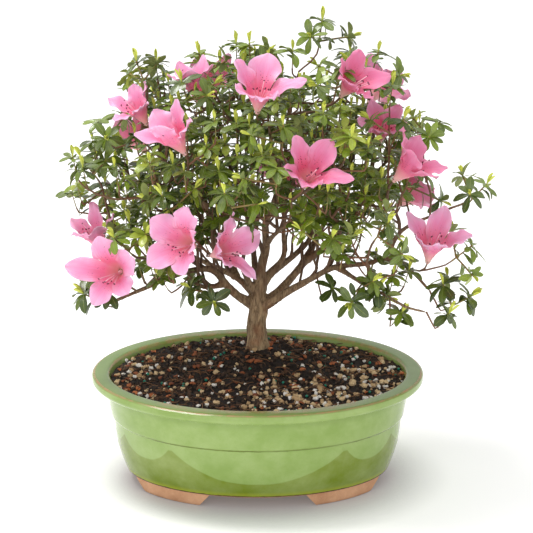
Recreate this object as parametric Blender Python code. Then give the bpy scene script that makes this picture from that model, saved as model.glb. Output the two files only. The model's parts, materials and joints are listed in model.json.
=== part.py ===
"""Satsuki azalea bonsai: a small flowering tree rooted in soil in a glazed oval pot.

Built in metres, +Z up. While it is built, z = 0 is the ground under the pot's feet and x = y = 0 is the
pot's centre; centre_on_origin then stands the whole plant's box centred on the origin.
"""
import math
import random

import bpy
from mathutils import Matrix, Quaternion, Vector
from mathutils.bvhtree import BVHTree

# Every size and place below is in millimetres, and solids are written in metres.
MM = 0.001
GAP = 0.3

# Pot: an oval rim, a lip that overhangs the wall, a shallow step, and four feet under a recessed floor.
RIM_LENGTH = 305.0
RIM_WIDTH = 239.0
POT_HEIGHT = 104.0
POT_SIDES = 36
FLOOR_TOP = 20.5
FLOOR_UNDERSIDE = 12.0
# Each is how far in from the rim's outer edge at the pot's ends, how far in at its long sides, and how high.
POT_OUTSIDE = (
    (49.8, 56.8, FLOOR_UNDERSIDE),
    (49.0, 56.0, 0.0),
    (33.4, 39.5, 0.0),
    (31.8, 38.4, 12.0),
    (30.2, 36.6, 12.6),
    (22.6, 27.0, 36.0),
    (19.8, 20.4, 63.4),
    (17.2, 17.6, 65.2),
    (13.2, 13.2, 92.5),
    (2.4, 2.4, 95.0),
    (0.0, 0.0, 98.5),
    (0.5, 0.5, 102.8),
    (2.5, 2.5, POT_HEIGHT),
)
# Each is how far in from the rim's outer edge, and how high.
POT_INSIDE = (
    (14.5, POT_HEIGHT),
    (16.5, 102.5),
    (22.5, 80.0),
    (34.0, 38.0),
    (52.0, FLOOR_TOP),
)
FOOT_GAP_TOP = 11.5
FRONT_GAP_WIDTHS = (109.0, 87.0)
SIDE_GAP_WIDTHS = (84.0, 60.0)
DRAIN_X = 62.0
DRAIN_RADIUS = 9.0
DRAIN_SIDES = 12

# Screen over each drain hole, under the soil.
SCREEN_WIDTH = 32.0
SCREEN_THICKNESS = 1.2
SCREEN_CELLS = 5

# Soil: level a little below the rim, and mounded up round the trunk.
SOIL_EDGE = 98.0
SOIL_MOUND = 14.5
SOIL_MOUND_SPREAD = 46.0
SOIL_RELIEF = 0.9
SOIL_RINGS = 4

# Tree. The trunk is a radius and a centre at each height. Each limb names the limb it leaves, its radius
# at its start and at its end, and the points it runs through; its first point is moved onto its carrier.
TRUNK_X = 0.0
TRUNK_Y = 40.0
STUB_BOTTOM = 80.0
TRUNK = (
    (7.5, (0, 40, STUB_BOTTOM)),
    (11.4, (0, 40, 103)),
    (11.0, (0, 40, 113)),
    (9.4, (0, 40, 122)),
    (8.7, (-0.5, 40, 136)),
    (9.0, (0.5, 40, 149)),
    (7.6, (1, 40, 160)),
    (5.6, (2, 40, 172)),
)
TRUNK_SIDES = 10
LIMBS = {
    "leader": ("trunk", 5.2, 1.3, (
        (2, 40, 168), (4, 38, 193), (8, 32, 212), (7, 22, 236), (12, 15, 251), (17, 5, 273), (13, -5, 312),
        (9, -5, 346))),
    "left_low": ("trunk", 4.6, 1.7, (
        (0, 40, 152), (-9, 37, 158), (-18, 34, 164), (-28, 28, 176), (-42, 20, 194), (-64, 8, 196),
        (-88, 0, 189), (-105, -5, 183), (-131, -10, 173))),
    "left_low_riser": ("left_low", 2.4, 1.2, (
        (-30, 27, 178), (-44, 17, 178), (-51, 10, 181), (-59, 0, 190), (-68, -12, 209))),
    "left_high": ("trunk", 3.8, 1.4, (
        (0, 42, 160), (-9, 46, 169), (-22, 55, 177), (-43, 75, 181), (-74, 90, 192), (-104, 88, 209))),
    "left_front": ("trunk", 3.2, 1.2, (
        (-2, 38, 164), (-8, 32, 178), (-16, 18, 201), (-32, -5, 234), (-46, -25, 268), (-62, -28, 292))),
    "left_centre": ("leader", 3.6, 1.2, (
        (1, 42, 168), (-2, 50, 184), (-5, 72, 208), (-12, 88, 233), (-24, 98, 267), (-32, 103, 304))),
    "right_back": ("leader", 3.9, 1.2, (
        (3, 42, 170), (12, 46, 182), (34, 58, 196), (49, 72, 208), (54, 82, 224), (52, 95, 249),
        (58, 100, 286))),
    "right_centre": ("right_back", 2.9, 1.1, (
        (14, 44, 178), (24, 46, 198), (24, 38, 226), (24, 34, 256), (21, 30, 274), (21, 32, 300),
        (29, 38, 338), (37, 40, 374))),
    "right_high": ("trunk", 4.8, 1.3, (
        (1, 40, 152), (10, 41, 158), (21, 45, 166), (34, 52, 179), (46, 60, 191), (60, 66, 199),
        (77, 72, 212), (96, 75, 240), (106, 70, 275), (107, 62, 314), (104, 50, 350))),
    "right_low": ("trunk", 4.4, 1.3, (
        (1, 40, 150), (11, 34, 157), (28, 26, 171), (42, 20, 181), (65, 8, 198), (77, 2, 203),
        (101, -6, 208), (114, -8, 213), (136, -6, 203), (156, -6, 182))),
    "right_low_front": ("right_low", 2.4, 1.2, (
        (72, 4, 201), (84, -12, 198), (97, -25, 193), (113, -36, 188), (132, -44, 179), (150, -47, 175))),
    "right_far": ("right_low", 2.3, 1.2, (
        (116, -8, 213), (130, 2, 236), (162, 6, 251), (190, 6, 262))),
    "back_left": ("left_high", 3.4, 1.2, (
        (-20, 54, 176), (-32, 80, 196), (-52, 106, 216), (-76, 124, 252), (-86, 122, 296), (-84, 110, 330))),
    "back_right": ("right_high", 3.2, 1.2, (
        (46, 60, 191), (56, 84, 206), (72, 106, 230), (88, 118, 266), (94, 114, 322))),
    "back_centre": ("left_centre", 2.9, 1.1, (
        (-5, 72, 208), (0, 96, 228), (-12, 116, 262), (-4, 120, 318), (-4, 116, 342))),
    "front_centre": ("leader", 2.7, 1.2, (
        (8, 30, 216), (14, 6, 230), (20, -28, 246), (28, -52, 262), (30, -66, 284))),
    "front_left": ("left_front", 2.4, 1.2, (
        (-20, 12, 210), (-30, -16, 214), (-38, -36, 222))),
    "top_left": ("leader", 2.6, 1.2, (
        (17, 5, 276), (2, 8, 304), (-22, 14, 332), (-40, 22, 362))),
    "left_upper": ("left_front", 2.5, 1.2, (
        (-45, -24, 266), (-62, -14, 286), (-88, 0, 306), (-104, 8, 320))),
}
LIMB_SIDES = 6
LIMB_STEP = 30.0
KNOT_STEPS = 8

# Twigs: each leaves the wood where the way to its tip is easiest, and runs straight for its last stretch.
# ROUTE_WEIGHT is how much the way back along the wood counts, and ROUTES_TRIED how many starts are tried.
TWIG_SIDES = 3
TWIG_STEP = 24.0
TWIG_STEPS = 24
TWIG_END = 4.0
TWIG_RADIUS = 1.1
TWIG_FORK = 0.25
TWIG_GROWTH = 0.42
TWIG_SAMPLE = 6.0
TWIG_BEND = (0.35, 0.30)
ROUTE_WEIGHT = 0.35
ROUTES_TRIED = 160
CROWN_HEART = Vector((12.0, 25.0, 215.0))
OUTWARD_SHARE = 0.75
UPWARD_SHARE = 0.6

# Sprays: where each leafy shoot's whorl stands. A shoot has a leaf on each side at its top, and forks low
# down into side shoots with a whorl each, which go where the most room is. The golden turn spreads the sides.
SHOOT_LENGTH = 25.0
SHOOT_SIDES = 6
SHOOT_RADIUS = 1.2
HUB_HEIGHT = 1.3
SPEAR_LENGTH = 8.0
GOLDEN_TURN = math.radians(137.5)
FORKS = 2
FORK_PLACE = 6.0
FORK_LENGTH = 28.0
FORK_RADIUS = 0.95
FORK_SPEAR = 6.0
FORK_PITCHES = (math.radians(14.0), math.radians(34.0))
FORK_SPACING = 19.0
CROWN_MARGIN = 3.0
BLOOM_FRONT = 58.0
BLOOM_MARGIN = 10.0
SPRAY_CENTRES = (
    (-156, -20, 184), (-61, -15, 188), (-126, -50, 245), (-160, 50, 254), (-159, 20, 300),
    (-143, 10, 336), (-108, 30, 386), (-66, -18, 378), (-52, 40, 390), (-7, 35, 401), (58, 40, 421),
    (108, 30, 394), (72, -30, 392), (128, -26, 346), (164, 20, 333), (80, -80, 343), (22, -75, 352),
    (206, 8, 278), (192, -20, 229), (192, -10, 177), (102, -50, 205), (112, -84, 268), (-28, -95, 298),
    (16, -104, 322), (-83, -58, 286), (64, -94, 258), (153, 32, 283), (-125, 92, 246), (-68, 138, 300),
    (-98, 92, 358), (-2, 130, 368), (84, 106, 372), (52, 150, 296), (136, 96, 304), (116, 106, 228),
    (-20, 152, 236),
)
LEAF_LENGTH = 19.0
LEAF_HALF_WIDTH = 4.3
LEAF_THICKNESS = 1.0
MAIN_LEAF_SIZES = (0.86, 1.08)
FORK_LEAF_SIZES = (0.78, 0.98)
LEAF_PITCH = (8.0, 28.0)
LEAF_DROOP = (0.10, 0.28)
LEAF_TO_LIGHT = 0.4
# A leaf's outline on one side, as shares of its length and half width, and where its ridge is highest.
LEAF_OUTLINE = ((0.34, 0.76), (0.74, 0.88))
LEAF_RIDGE = 0.5
# How a leaf gives way to its neighbours: turns round the shoot and rises in degrees, tried in order.
LEAF_SHIFTS = (
    (0, 0), (0, 14), (16, 6), (-16, 6), (0, -14), (0, 28), (26, 18), (-26, 18), (0, 44), (30, 36), (-30, 36),
)
# Room that a new leaf or side shoot needs: a leaf's growth in size and the start of its test past its root,
# and a shoot's growth in radius.
LEAF_ROOM = 1.03
LEAF_ROOT = 0.35
ROD_ROOM = 1.4

# Blooms: where the tube starts, which way it faces, its turn in degrees, its openness and its scale, and how
# long, how wide and how far open each of its five lobes is, as shares of a regular one.
REGULAR_LOBES = (
    (1.0, 1.0, 1.0), (1.06, 0.92, 0.9), (0.96, 1.05, 1.06), (1.04, 0.95, 0.94), (0.95, 1.0, 1.08))
BLOOMS = (
    ((0, -50, 356), (0.08, -0.34, 0.94), -6, 1.00, 1.08, (
        (1.18, 0.80, 1.20), (1.12, 1.25, 0.80), (1.05, 0.80, 0.62), (0.90, 0.85, 0.90), (0.72, 0.90, 0.95))),
    ((-51, 5, 352), (-0.25, 0.10, 0.95), 20, 0.90, 0.92, (
        (0.80, 1.00, 0.60), (0.90, 0.80, 0.90), (1.12, 1.00, 0.60), (1.05, 0.80, 0.50), (0.90, 0.85, 0.80))),
    ((-62, -52, 320), (-0.45, -0.25, 0.85), 30, 0.90, 1.05, (
        (0.85, 0.80, 1.00), (1.05, 0.65, 0.50), (1.00, 1.00, 0.80), (1.05, 0.90, 0.90), (1.00, 1.20, 0.42))),
    ((-98, 10, 332), (-0.45, -0.20, 0.87), 0, 0.90, 0.90, (
        (0.75, 0.85, 1.10), (1.00, 0.70, 0.55), (0.90, 0.80, 0.65), (1.05, 0.75, 0.85), (0.90, 0.95, 1.30))),
    ((72, -30, 366), (0.50, -0.40, 0.78), 50, 1.00, 0.98, (
        (1.00, 0.80, 0.70), (0.80, 0.80, 0.65), (0.72, 0.95, 0.80), (0.75, 0.65, 1.20), (1.15, 1.10, 1.05))),
    ((40, -75, 297), (0.20, -0.60, 0.78), 40, 0.98, 1.02, (
        (1.10, 1.05, 0.75), (1.10, 0.75, 0.75), (0.80, 0.80, 0.95), (0.65, 0.90, 0.90), (1.18, 0.75, 1.20))),
    ((118, -45, 294), (0.66, -0.20, 0.72), 25, 0.90, 1.05, (
        (1.00, 0.90, 0.90), (1.00, 0.90, 0.80), (0.85, 1.00, 0.60), (0.95, 0.90, 0.90), (1.10, 0.85, 1.05))),
    ((111, 25, 312), (0.05, -0.45, 0.89), 40, 0.86, 0.85, REGULAR_LOBES),
    ((-54, -58, 240), (-0.50, -0.80, 0.36), 8, 1.08, 1.04, (
        (0.85, 0.90, 0.60), (1.02, 1.05, 0.90), (1.04, 1.15, 1.00), (1.05, 1.05, 1.05), (0.92, 1.05, 1.00))),
    ((-41, -56, 230), (0.64, -0.62, 0.46), 8, 1.04, 1.00, (
        (1.10, 1.10, 0.90), (1.12, 0.65, 0.80), (0.82, 0.90, 0.60), (0.70, 0.80, 0.70), (1.10, 0.55, 1.25))),
    ((-139, 2, 215), (-0.35, -0.05, 0.93), 10, 0.92, 0.95, (
        (0.72, 0.90, 0.75), (0.85, 0.75, 0.90), (1.15, 0.60, 0.42), (1.00, 1.05, 0.65), (0.80, 0.90, 0.85))),
    ((-120, -30, 208), (-0.36, -0.90, 0.25), 34, 1.08, 1.06, (
        (1.02, 1.15, 0.80), (1.05, 1.10, 0.90), (1.25, 0.88, 1.00), (0.95, 0.85, 1.05), (0.78, 0.90, 0.95))),
    ((152, -20, 212), (0.14, -0.28, 0.95), 45, 0.98, 1.04, (
        (1.22, 0.92, 0.80), (1.10, 1.00, 0.90), (0.75, 0.80, 0.70), (0.62, 0.90, 0.60), (1.10, 0.85, 1.05))),
    ((27, 98, 240), (0.10, 0.80, 0.60), 15, 1.04, 0.98, REGULAR_LOBES),
    ((-40, 118, 330), (-0.20, 0.72, 0.68), 55, 1.00, 1.00, REGULAR_LOBES),
    ((104, 112, 328), (0.45, 0.70, 0.58), 5, 1.04, 1.02, REGULAR_LOBES),
    ((-104, 108, 282), (-0.60, 0.62, 0.50), 40, 1.00, 0.98, REGULAR_LOBES),
    ((128, 64, 242), (0.80, 0.42, 0.42), 24, 0.96, 0.95, REGULAR_LOBES),
)
TUBE_RADIUS = 2.6
TUBE_LENGTH = 3.0
THROAT_RADIUS = 7.4
THROAT_HEIGHT = 14.0
PETALS = 5
PETAL_LENGTH = 30.0
PETAL_HALF_WIDTH = 11.0
PETAL_THICKNESS = 1.3
PETAL_LEAN = (28.0, 72.0)
PETAL_NOTCH = 0.13
# How much of its fifth of the round a lobe may fill, so that neighbours never cross.
PETAL_ROOM = 0.94
# A lobe's middle point and outline: shares of its length and half width, and a wave in millimetres.
PETAL_OUTLINE = (
    (0.50, 0.0, -1.4), (0.42, -0.92, 1.0), (0.78, -0.78, 0.4), (1.0, 0.0, -1.2), (0.78, 0.78, 1.4),
    (0.42, 0.92, 0.2),
)
# Room that twigs leave round another bloom's stalk, throat and open lobes: distance and height.
STALK_ROOM = (4.0, -3.0)
THROAT_ROOM = (10.0, THROAT_HEIGHT)
LOBE_ROOM = (34.0, THROAT_HEIGHT + 18.0)
BLOOM_TOP = 42.0

SEED = 11

# Colours are linear, and each entry is colour, roughness and metallic.
FINISHES = {
    "celadon_glaze": ((0.33, 0.50, 0.12), 0.18, 0.0),
    "potting_soil": ((0.035, 0.022, 0.016), 0.95, 0.0),
    "screen_plastic": ((0.02, 0.02, 0.02), 0.6, 0.0),
    "bark": ((0.10, 0.065, 0.045), 0.85, 0.0),
    "leaf_green": ((0.07, 0.17, 0.03), 0.4, 0.0),
    "petal_pink": ((0.85, 0.22, 0.42), 0.5, 0.0),
}


# General helpers

def finish(name):
    material = bpy.data.materials.get(name)
    if material is None:
        colour, roughness, metallic = FINISHES[name]
        material = bpy.data.materials.new(name)
        material.use_nodes = True
        shader = material.node_tree.nodes["Principled BSDF"]
        shader.inputs["Base Color"].default_value = (*colour, 1.0)
        shader.inputs["Roughness"].default_value = roughness
        shader.inputs["Metallic"].default_value = metallic
    return material


def solid(name, points, faces, finish_name, smooth_angle=None):
    """A mesh object from points in millimetres."""
    mesh = bpy.data.meshes.new(name)
    mesh.from_pydata([Vector(point) * MM for point in points], [], faces)
    mesh.validate()
    if smooth_angle is not None:
        mesh.shade_smooth()
        mesh.set_sharp_from_angle(angle=math.radians(smooth_angle))
    mesh.materials.append(finish(finish_name))
    obj = bpy.data.objects.new(name, mesh)
    bpy.context.scene.collection.objects.link(obj)
    return obj


def apply_modifier(obj, modifier):
    bpy.ops.object.select_all(action="DESELECT")
    bpy.context.view_layer.objects.active = obj
    obj.select_set(True)
    bpy.ops.object.modifier_apply(modifier=modifier.name)


def combine(body, tools, operation, solver="EXACT"):
    """One Boolean of all the tools on the body, applied, with the tools then removed."""
    group = bpy.data.collections.new(body.name + "_tools")
    bpy.context.scene.collection.children.link(group)
    for tool in tools:
        bpy.context.scene.collection.objects.unlink(tool)
        group.objects.link(tool)
    boolean = body.modifiers.new("Combine", "BOOLEAN")
    boolean.operation = operation
    boolean.operand_type = "COLLECTION"
    boolean.collection = group
    boolean.solver = solver
    apply_modifier(body, boolean)
    for tool in tools:
        bpy.data.objects.remove(tool)
    bpy.data.collections.remove(group)
    return body


def loft(rings, closed_start=True, closed_end=True):
    """Points and faces of a skin through rings that have equal numbers of points."""
    count = len(rings[0])
    points = [point for ring in rings for point in ring]
    faces = []
    for level in range(len(rings) - 1):
        for side in range(count):
            following = (side + 1) % count
            low = level * count
            high = low + count
            faces.append((low + side, low + following, high + following, high + side))
    if closed_start:
        faces.append(tuple(reversed(range(count))))
    if closed_end:
        faces.append(tuple(range(len(points) - count, len(points))))
    return points, faces


def tube_shape(path, radii, sides):
    """Rings round a path, each turned from the last as little as the bend allows, with both ends capped."""
    tangents = []
    for index in range(len(path)):
        ahead = path[min(index + 1, len(path) - 1)] - path[max(index - 1, 0)]
        tangents.append(ahead.normalized())
    tangents[0] = (path[1] - path[0]).normalized()
    tangents[-1] = (path[-1] - path[-2]).normalized()
    side = tangents[0].orthogonal().normalized()
    rings = []
    before = tangents[0]
    for point, tangent, radius in zip(path, tangents, radii):
        side = (before.rotation_difference(tangent) @ side).normalized()
        other = tangent.cross(side)
        before = tangent
        ring = []
        for step in range(sides):
            angle = 2 * math.pi * step / sides
            ring.append(point + (side * math.cos(angle) + other * math.sin(angle)) * radius)
        rings.append(ring)
    return loft(rings)


def tube(name, path, radii, sides, finish_name):
    points, faces = tube_shape([Vector(point) for point in path], radii, sides)
    return solid(name, points, faces, finish_name, smooth_angle=60)


# Pot, soil and screens

def oval(end_inset, side_inset, height):
    """A horizontal ring inside the rim's outer edge, by one distance at the ends and one at the sides."""
    half_length = RIM_LENGTH / 2 - end_inset
    half_width = RIM_WIDTH / 2 - side_inset
    ring = []
    for side in range(POT_SIDES):
        turn = 2 * math.pi * side / POT_SIDES
        ring.append((half_length * math.cos(turn), half_width * math.sin(turn), height))
    return ring


def gap_cutter(name, widths, length, along_x):
    """A bar with sloping sides, wider at the ground, that opens the foot ring."""
    low, high = widths[0] / 2, widths[1] / 2
    below = -1.0
    spread = low + (low - high) * -below / FOOT_GAP_TOP
    profile = ((-spread, below), (spread, below), (high, FOOT_GAP_TOP), (-high, FOOT_GAP_TOP))
    if along_x:
        rings = [[(end, across, height) for across, height in profile] for end in (-length, length)]
    else:
        rings = [[(-across, end, height) for across, height in profile] for end in (-length, length)]
    return solid(name, *loft(rings), "celadon_glaze")


def drain_cutter(name, x):
    rings = []
    for height in (FLOOR_UNDERSIDE - 2.0, FLOOR_TOP + 2.0):
        ring = []
        for side in range(DRAIN_SIDES):
            turn = 2 * math.pi * side / DRAIN_SIDES
            ring.append((x + DRAIN_RADIUS * math.cos(turn), DRAIN_RADIUS * math.sin(turn), height))
        rings.append(ring)
    return solid(name, *loft(rings), "celadon_glaze")


def make_pot():
    outside = [oval(*ring) for ring in POT_OUTSIDE]
    inside = [oval(inset, inset, height) for inset, height in POT_INSIDE]
    points, faces = loft(outside + inside)
    pot = solid("pot", points, faces, "celadon_glaze", smooth_angle=35)
    cutters = [
        gap_cutter("front_gap", FRONT_GAP_WIDTHS, RIM_WIDTH, along_x=False),
        gap_cutter("side_gap", SIDE_GAP_WIDTHS, RIM_LENGTH, along_x=True),
        drain_cutter("drain_a", -DRAIN_X),
        drain_cutter("drain_b", DRAIN_X),
    ]
    return combine(pot, cutters, "DIFFERENCE")


def make_screen(name, x):
    """A square of plastic mesh lying on the pot's floor over a drain hole."""
    cell = SCREEN_WIDTH / SCREEN_CELLS
    across = SCREEN_CELLS + 1
    bottom = FLOOR_TOP + GAP
    start = -SCREEN_WIDTH / 2
    points = []
    for height in (bottom, bottom + SCREEN_THICKNESS):
        for row in range(across):
            for column in range(across):
                points.append((x + start + column * cell, start + row * cell, height))

    def corner(row, column, layer):
        return layer * across * across + row * across + column

    def filled(row, column):
        inside = 0 <= row < SCREEN_CELLS and 0 <= column < SCREEN_CELLS
        return inside and not (row % 2 == 1 and column % 2 == 1)

    faces = []
    for row in range(SCREEN_CELLS):
        for column in range(SCREEN_CELLS):
            if not filled(row, column):
                continue
            square = ((row, column), (row, column + 1), (row + 1, column + 1), (row + 1, column))
            faces.append(tuple(corner(*place, 1) for place in square))
            faces.append(tuple(corner(*place, 0) for place in reversed(square)))
            neighbours = ((row - 1, column), (row, column + 1), (row + 1, column), (row, column - 1))
            for edge, neighbour in enumerate(neighbours):
                if filled(*neighbour):
                    continue
                first = square[edge]
                second = square[(edge + 1) % 4]
                faces.append((corner(*first, 0), corner(*second, 0), corner(*second, 1), corner(*first, 1)))
    return solid(name, points, faces, "screen_plastic")


def soil_height(x, y):
    """The soil's surface: level at the edge, mounded at the trunk, and a little uneven."""
    distance = math.hypot(x - TRUNK_X, y - TRUNK_Y)
    mound = SOIL_MOUND * math.exp(-((distance / SOIL_MOUND_SPREAD) ** 2))
    uneven = math.sin(0.13 * x + 1.0) * math.cos(0.17 * y) + 0.6 * math.sin(0.31 * x + 0.23 * y)
    return SOIL_EDGE + mound + SOIL_RELIEF * uneven


def inset_at(height):
    """How far the pot's inner wall stands in from the rim's outer edge at a height."""
    for upper, lower in zip(POT_INSIDE[1:], POT_INSIDE[2:]):
        if lower[1] <= height <= upper[1]:
            share = (upper[1] - height) / (upper[1] - lower[1])
            return upper[0] + share * (lower[0] - upper[0])
    raise ValueError("no inner wall at this height")


def pocket_cutter(name, x):
    """The hollow in the soil's underside that a drain screen lies in."""
    half = SCREEN_WIDTH / 2 + GAP
    bottom = FLOOR_TOP - 1.0
    top = FLOOR_TOP + SCREEN_THICKNESS + 2 * GAP
    square = ((-half, -half), (half, -half), (half, half), (-half, half))
    rings = [[(x + across, along, height) for across, along in square] for height in (bottom, top)]
    return solid(name, *loft(rings), "potting_soil")


def make_soil():
    clear = GAP + 0.1
    rings = []
    for height in (FLOOR_TOP + GAP, POT_INSIDE[3][1], POT_INSIDE[2][1]):
        inset = inset_at(height) + clear
        rings.append(oval(inset, inset, height))
    edge_inset = inset_at(SOIL_EDGE + SOIL_RELIEF) + 2 * clear
    edge = oval(edge_inset, edge_inset, SOIL_EDGE)
    for ring in range(SOIL_RINGS):
        share = 1.0 - ring / SOIL_RINGS
        rings.append([(x * share, y * share, soil_height(x * share, y * share)) for x, y, _ in edge])
    points, faces = loft(rings, closed_end=False)
    centre = len(points)
    points.append((0.0, 0.0, soil_height(0.0, 0.0)))
    last = centre - POT_SIDES
    for side in range(POT_SIDES):
        faces.append((last + side, last + (side + 1) % POT_SIDES, centre))
    soil = solid("soil", points, faces, "potting_soil", smooth_angle=50)
    cutters = [
        trunk_tube("root_hole", GAP),
        pocket_cutter("pocket_a", -DRAIN_X),
        pocket_cutter("pocket_b", DRAIN_X),
    ]
    return combine(soil, cutters, "DIFFERENCE")


# Skeleton of the tree

def smooth_path(knots, step):
    """Points along a Catmull-Rom curve through the knots, about a step apart."""
    knots = [Vector(knot) for knot in knots]
    ends = [knots[0] * 2 - knots[1], *knots, knots[-1] * 2 - knots[-2]]
    dense = []
    for before, start, end, after in zip(ends, ends[1:], ends[2:], ends[3:]):
        for index in range(KNOT_STEPS):
            share = index / KNOT_STEPS
            dense.append(0.5 * (
                2 * start + (end - before) * share
                + (2 * before - 5 * start + 4 * end - after) * share ** 2
                + (3 * start - before - 3 * end + after) * share ** 3))
    dense.append(knots[-1])
    return resampled(dense, step)


def resampled(dense, step):
    """Evenly spaced points along a fine polyline, with both of its ends kept."""
    lengths = [0.0]
    for first, second in zip(dense, dense[1:]):
        lengths.append(lengths[-1] + (second - first).length)
    pieces = max(2, round(lengths[-1] / step))
    path = []
    index = 0
    for piece in range(pieces + 1):
        target = lengths[-1] * piece / pieces
        while index < len(dense) - 2 and lengths[index + 1] < target:
            index += 1
        share = (target - lengths[index]) / (lengths[index + 1] - lengths[index])
        path.append(dense[index].lerp(dense[index + 1], share))
    return path


class Site:
    """A place on the wood that a twig can start from."""

    def __init__(self, point, direction, route, owner):
        self.point = point
        self.direction = direction
        self.route = route
        self.owner = owner


def sites_along(path, route, owner, skip=1):
    sites = []
    for index in range(skip, len(path)):
        ahead = path[min(index + 1, len(path) - 1)] - path[index - 1]
        route += (path[index] - path[index - 1]).length
        sites.append(Site(path[index], ahead.normalized(), route, owner))
    return sites


def bezier(first, second, third, fourth, step):
    dense = []
    for index in range(TWIG_STEPS + 1):
        share = index / TWIG_STEPS
        rest = 1 - share
        dense.append(first * rest ** 3 + second * 3 * rest ** 2 * share
                     + third * 3 * rest * share ** 2 + fourth * share ** 3)
    return resampled(dense, step)


def bloom_reach(height):
    """How far from its axis a bloom needs room at a height above its base."""
    if height < STALK_ROOM[1] or height > BLOOM_TOP:
        return 0.0
    if height < THROAT_HEIGHT:
        return STALK_ROOM[0] + (THROAT_ROOM[0] - STALK_ROOM[0]) * height / THROAT_HEIGHT
    opened = min(1.0, (height - THROAT_HEIGHT) / (LOBE_ROOM[1] - THROAT_HEIGHT))
    return THROAT_ROOM[0] + (LOBE_ROOM[0] - THROAT_ROOM[0]) * opened


def clear_of_blooms(path, own):
    for number, (base, facing, _, _, scale, _) in enumerate(BLOOMS):
        if number == own:
            continue
        axis = Vector(facing).normalized()
        for point in path:
            offset = (point - Vector(base)) / scale
            height = offset.dot(axis)
            if (offset - axis * height).length < bloom_reach(height):
                return False
    return True


def twig_to(sites, tip, aim, own):
    """The easiest way from the wood to a tip that passes clear of the blooms."""
    ranked = sorted(sites, key=lambda site: (tip - site.point).length + ROUTE_WEIGHT * site.route)
    fallback = None
    for site in ranked[:ROUTES_TRIED]:
        distance = (tip - site.point).length
        leaving = site.direction.lerp((tip - site.point).normalized(), 0.5)
        start = site.point + leaving * distance * TWIG_BEND[0]
        last = tip - aim * TWIG_END
        path = [*bezier(site.point, start, last - aim * distance * TWIG_BEND[1], last, TWIG_STEP), tip]
        if fallback is None:
            fallback = site, path
        if clear_of_blooms(resampled(path, TWIG_SAMPLE), own):
            return site, path
    return fallback


def outward(point):
    away = (Vector(point) - CROWN_HEART).normalized()
    return (away * OUTWARD_SHARE + Vector((0, 0, UPWARD_SHARE))).normalized()


def bloom_axis(bloom):
    return Vector(bloom[1]).normalized()


def tips():
    """Each tip that a twig must reach: the place, the way it points, and the bloom it carries, if any."""
    found = []
    for number, bloom in enumerate(BLOOMS):
        axis = bloom_axis(bloom)
        found.append((Vector(bloom[0]) - axis * GAP, axis, number))
    for centre in SPRAY_CENTRES:
        aim = outward(centre)
        found.append((Vector(centre) - aim * (SHOOT_LENGTH + GAP), aim, None))
    return found


def nearest_on(path, point):
    """The point of a polyline that lies nearest to a point."""
    best = path[0]
    for first, second in zip(path, path[1:]):
        run = second - first
        share = max(0.0, min(1.0, (point - first).dot(run) / run.length_squared))
        here = first + run * share
        if (here - point).length < (best - point).length:
            best = here
    return best


def limb_paths():
    """Each limb's polyline, which starts inside the limb or trunk that carries it."""
    paths = {"trunk": [Vector(point) for _, point in TRUNK]}
    for name, (carrier, _, _, knots) in LIMBS.items():
        start = nearest_on(paths[carrier], Vector(knots[0]))
        paths[name] = smooth_path((start, *knots[1:]), LIMB_STEP)
    return paths


def grow():
    """The limbs' paths, and the twigs that reach every bloom and spray from them."""
    paths = limb_paths()
    sites = []
    for name in LIMBS:
        route = (paths[name][0] - paths["trunk"][0]).length
        sites += sites_along(resampled(paths[name], TWIG_SAMPLE), route, None, skip=4)
    twigs = []
    for tip, aim, own in tips():
        site, path = twig_to(sites, tip, aim, own)
        twig = {"path": path, "parent": site.owner, "load": 1}
        twigs.append(twig)
        sites += sites_along(resampled(path, TWIG_SAMPLE), site.route, twig, skip=2)[:-2]
    for twig in twigs:
        carrier = twig["parent"]
        while carrier is not None:
            carrier["load"] += 1
            carrier = carrier["parent"]
    return paths, twigs


# Tree

def trunk_tube(name, extra=0.0):
    """The trunk with its root stub; extra widens it to cut the soil's hole."""
    path = [Vector(point) for _, point in TRUNK]
    path[0] = path[0] - Vector((0, 0, extra))
    return tube(name, path, [radius + extra for radius, _ in TRUNK], TRUNK_SIDES, "bark")


def tapered(first, last, count):
    return [first + (last - first) * index / (count - 1) for index in range(count)]


def make_tree(paths, twigs):
    wood = trunk_tube("tree")
    tubes = []
    for name, (_, first, last, _) in LIMBS.items():
        path = paths[name]
        tubes.append(tube(name, path, tapered(first, last, len(path)), LIMB_SIDES, "bark"))
    for number, twig in enumerate(twigs):
        path = twig["path"]
        first = TWIG_RADIUS * twig["load"] ** TWIG_GROWTH + TWIG_FORK
        tubes.append(tube(f"twig_{number}", path, tapered(first, TWIG_RADIUS, len(path)), TWIG_SIDES, "bark"))
    return combine(wood, tubes, "UNION", solver="MANIFOLD")


# Leaves and blooms

def lens(middle, half_thickness, triangles):
    """A thin closed blade: the middle surface's inner points are thickened and its rim is shared.

    half_thickness maps an inner point's number to half the blade's thickness there.
    """
    normals = [Vector((0, 0, 0)) for _ in middle]
    for a, b, c in triangles:
        normal = (middle[b] - middle[a]).cross(middle[c] - middle[a])
        for corner in (a, b, c):
            normals[corner] += normal
    points = list(middle)
    under = {}
    for inner, half in half_thickness.items():
        offset = normals[inner].normalized() * half
        points[inner] = middle[inner] + offset
        under[inner] = len(points)
        points.append(middle[inner] - offset)
    faces = list(triangles)
    for a, b, c in triangles:
        faces.append((under.get(c, c), under.get(b, b), under.get(a, a)))
    return points, faces


def moved(points, matrix):
    return [matrix @ Vector(point) for point in points]


def frame(origin, along, up):
    """A matrix whose X runs along one direction and whose Z is as near as can be to another."""
    x = Vector(along).normalized()
    y = Vector(up).cross(x).normalized()
    z = x.cross(y)
    return Matrix.Translation(origin) @ Matrix((x, y, z)).transposed().to_4x4()


def search_tree(points, faces):
    return BVHTree.FromPolygons([Vector(point) for point in points], faces)


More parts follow.
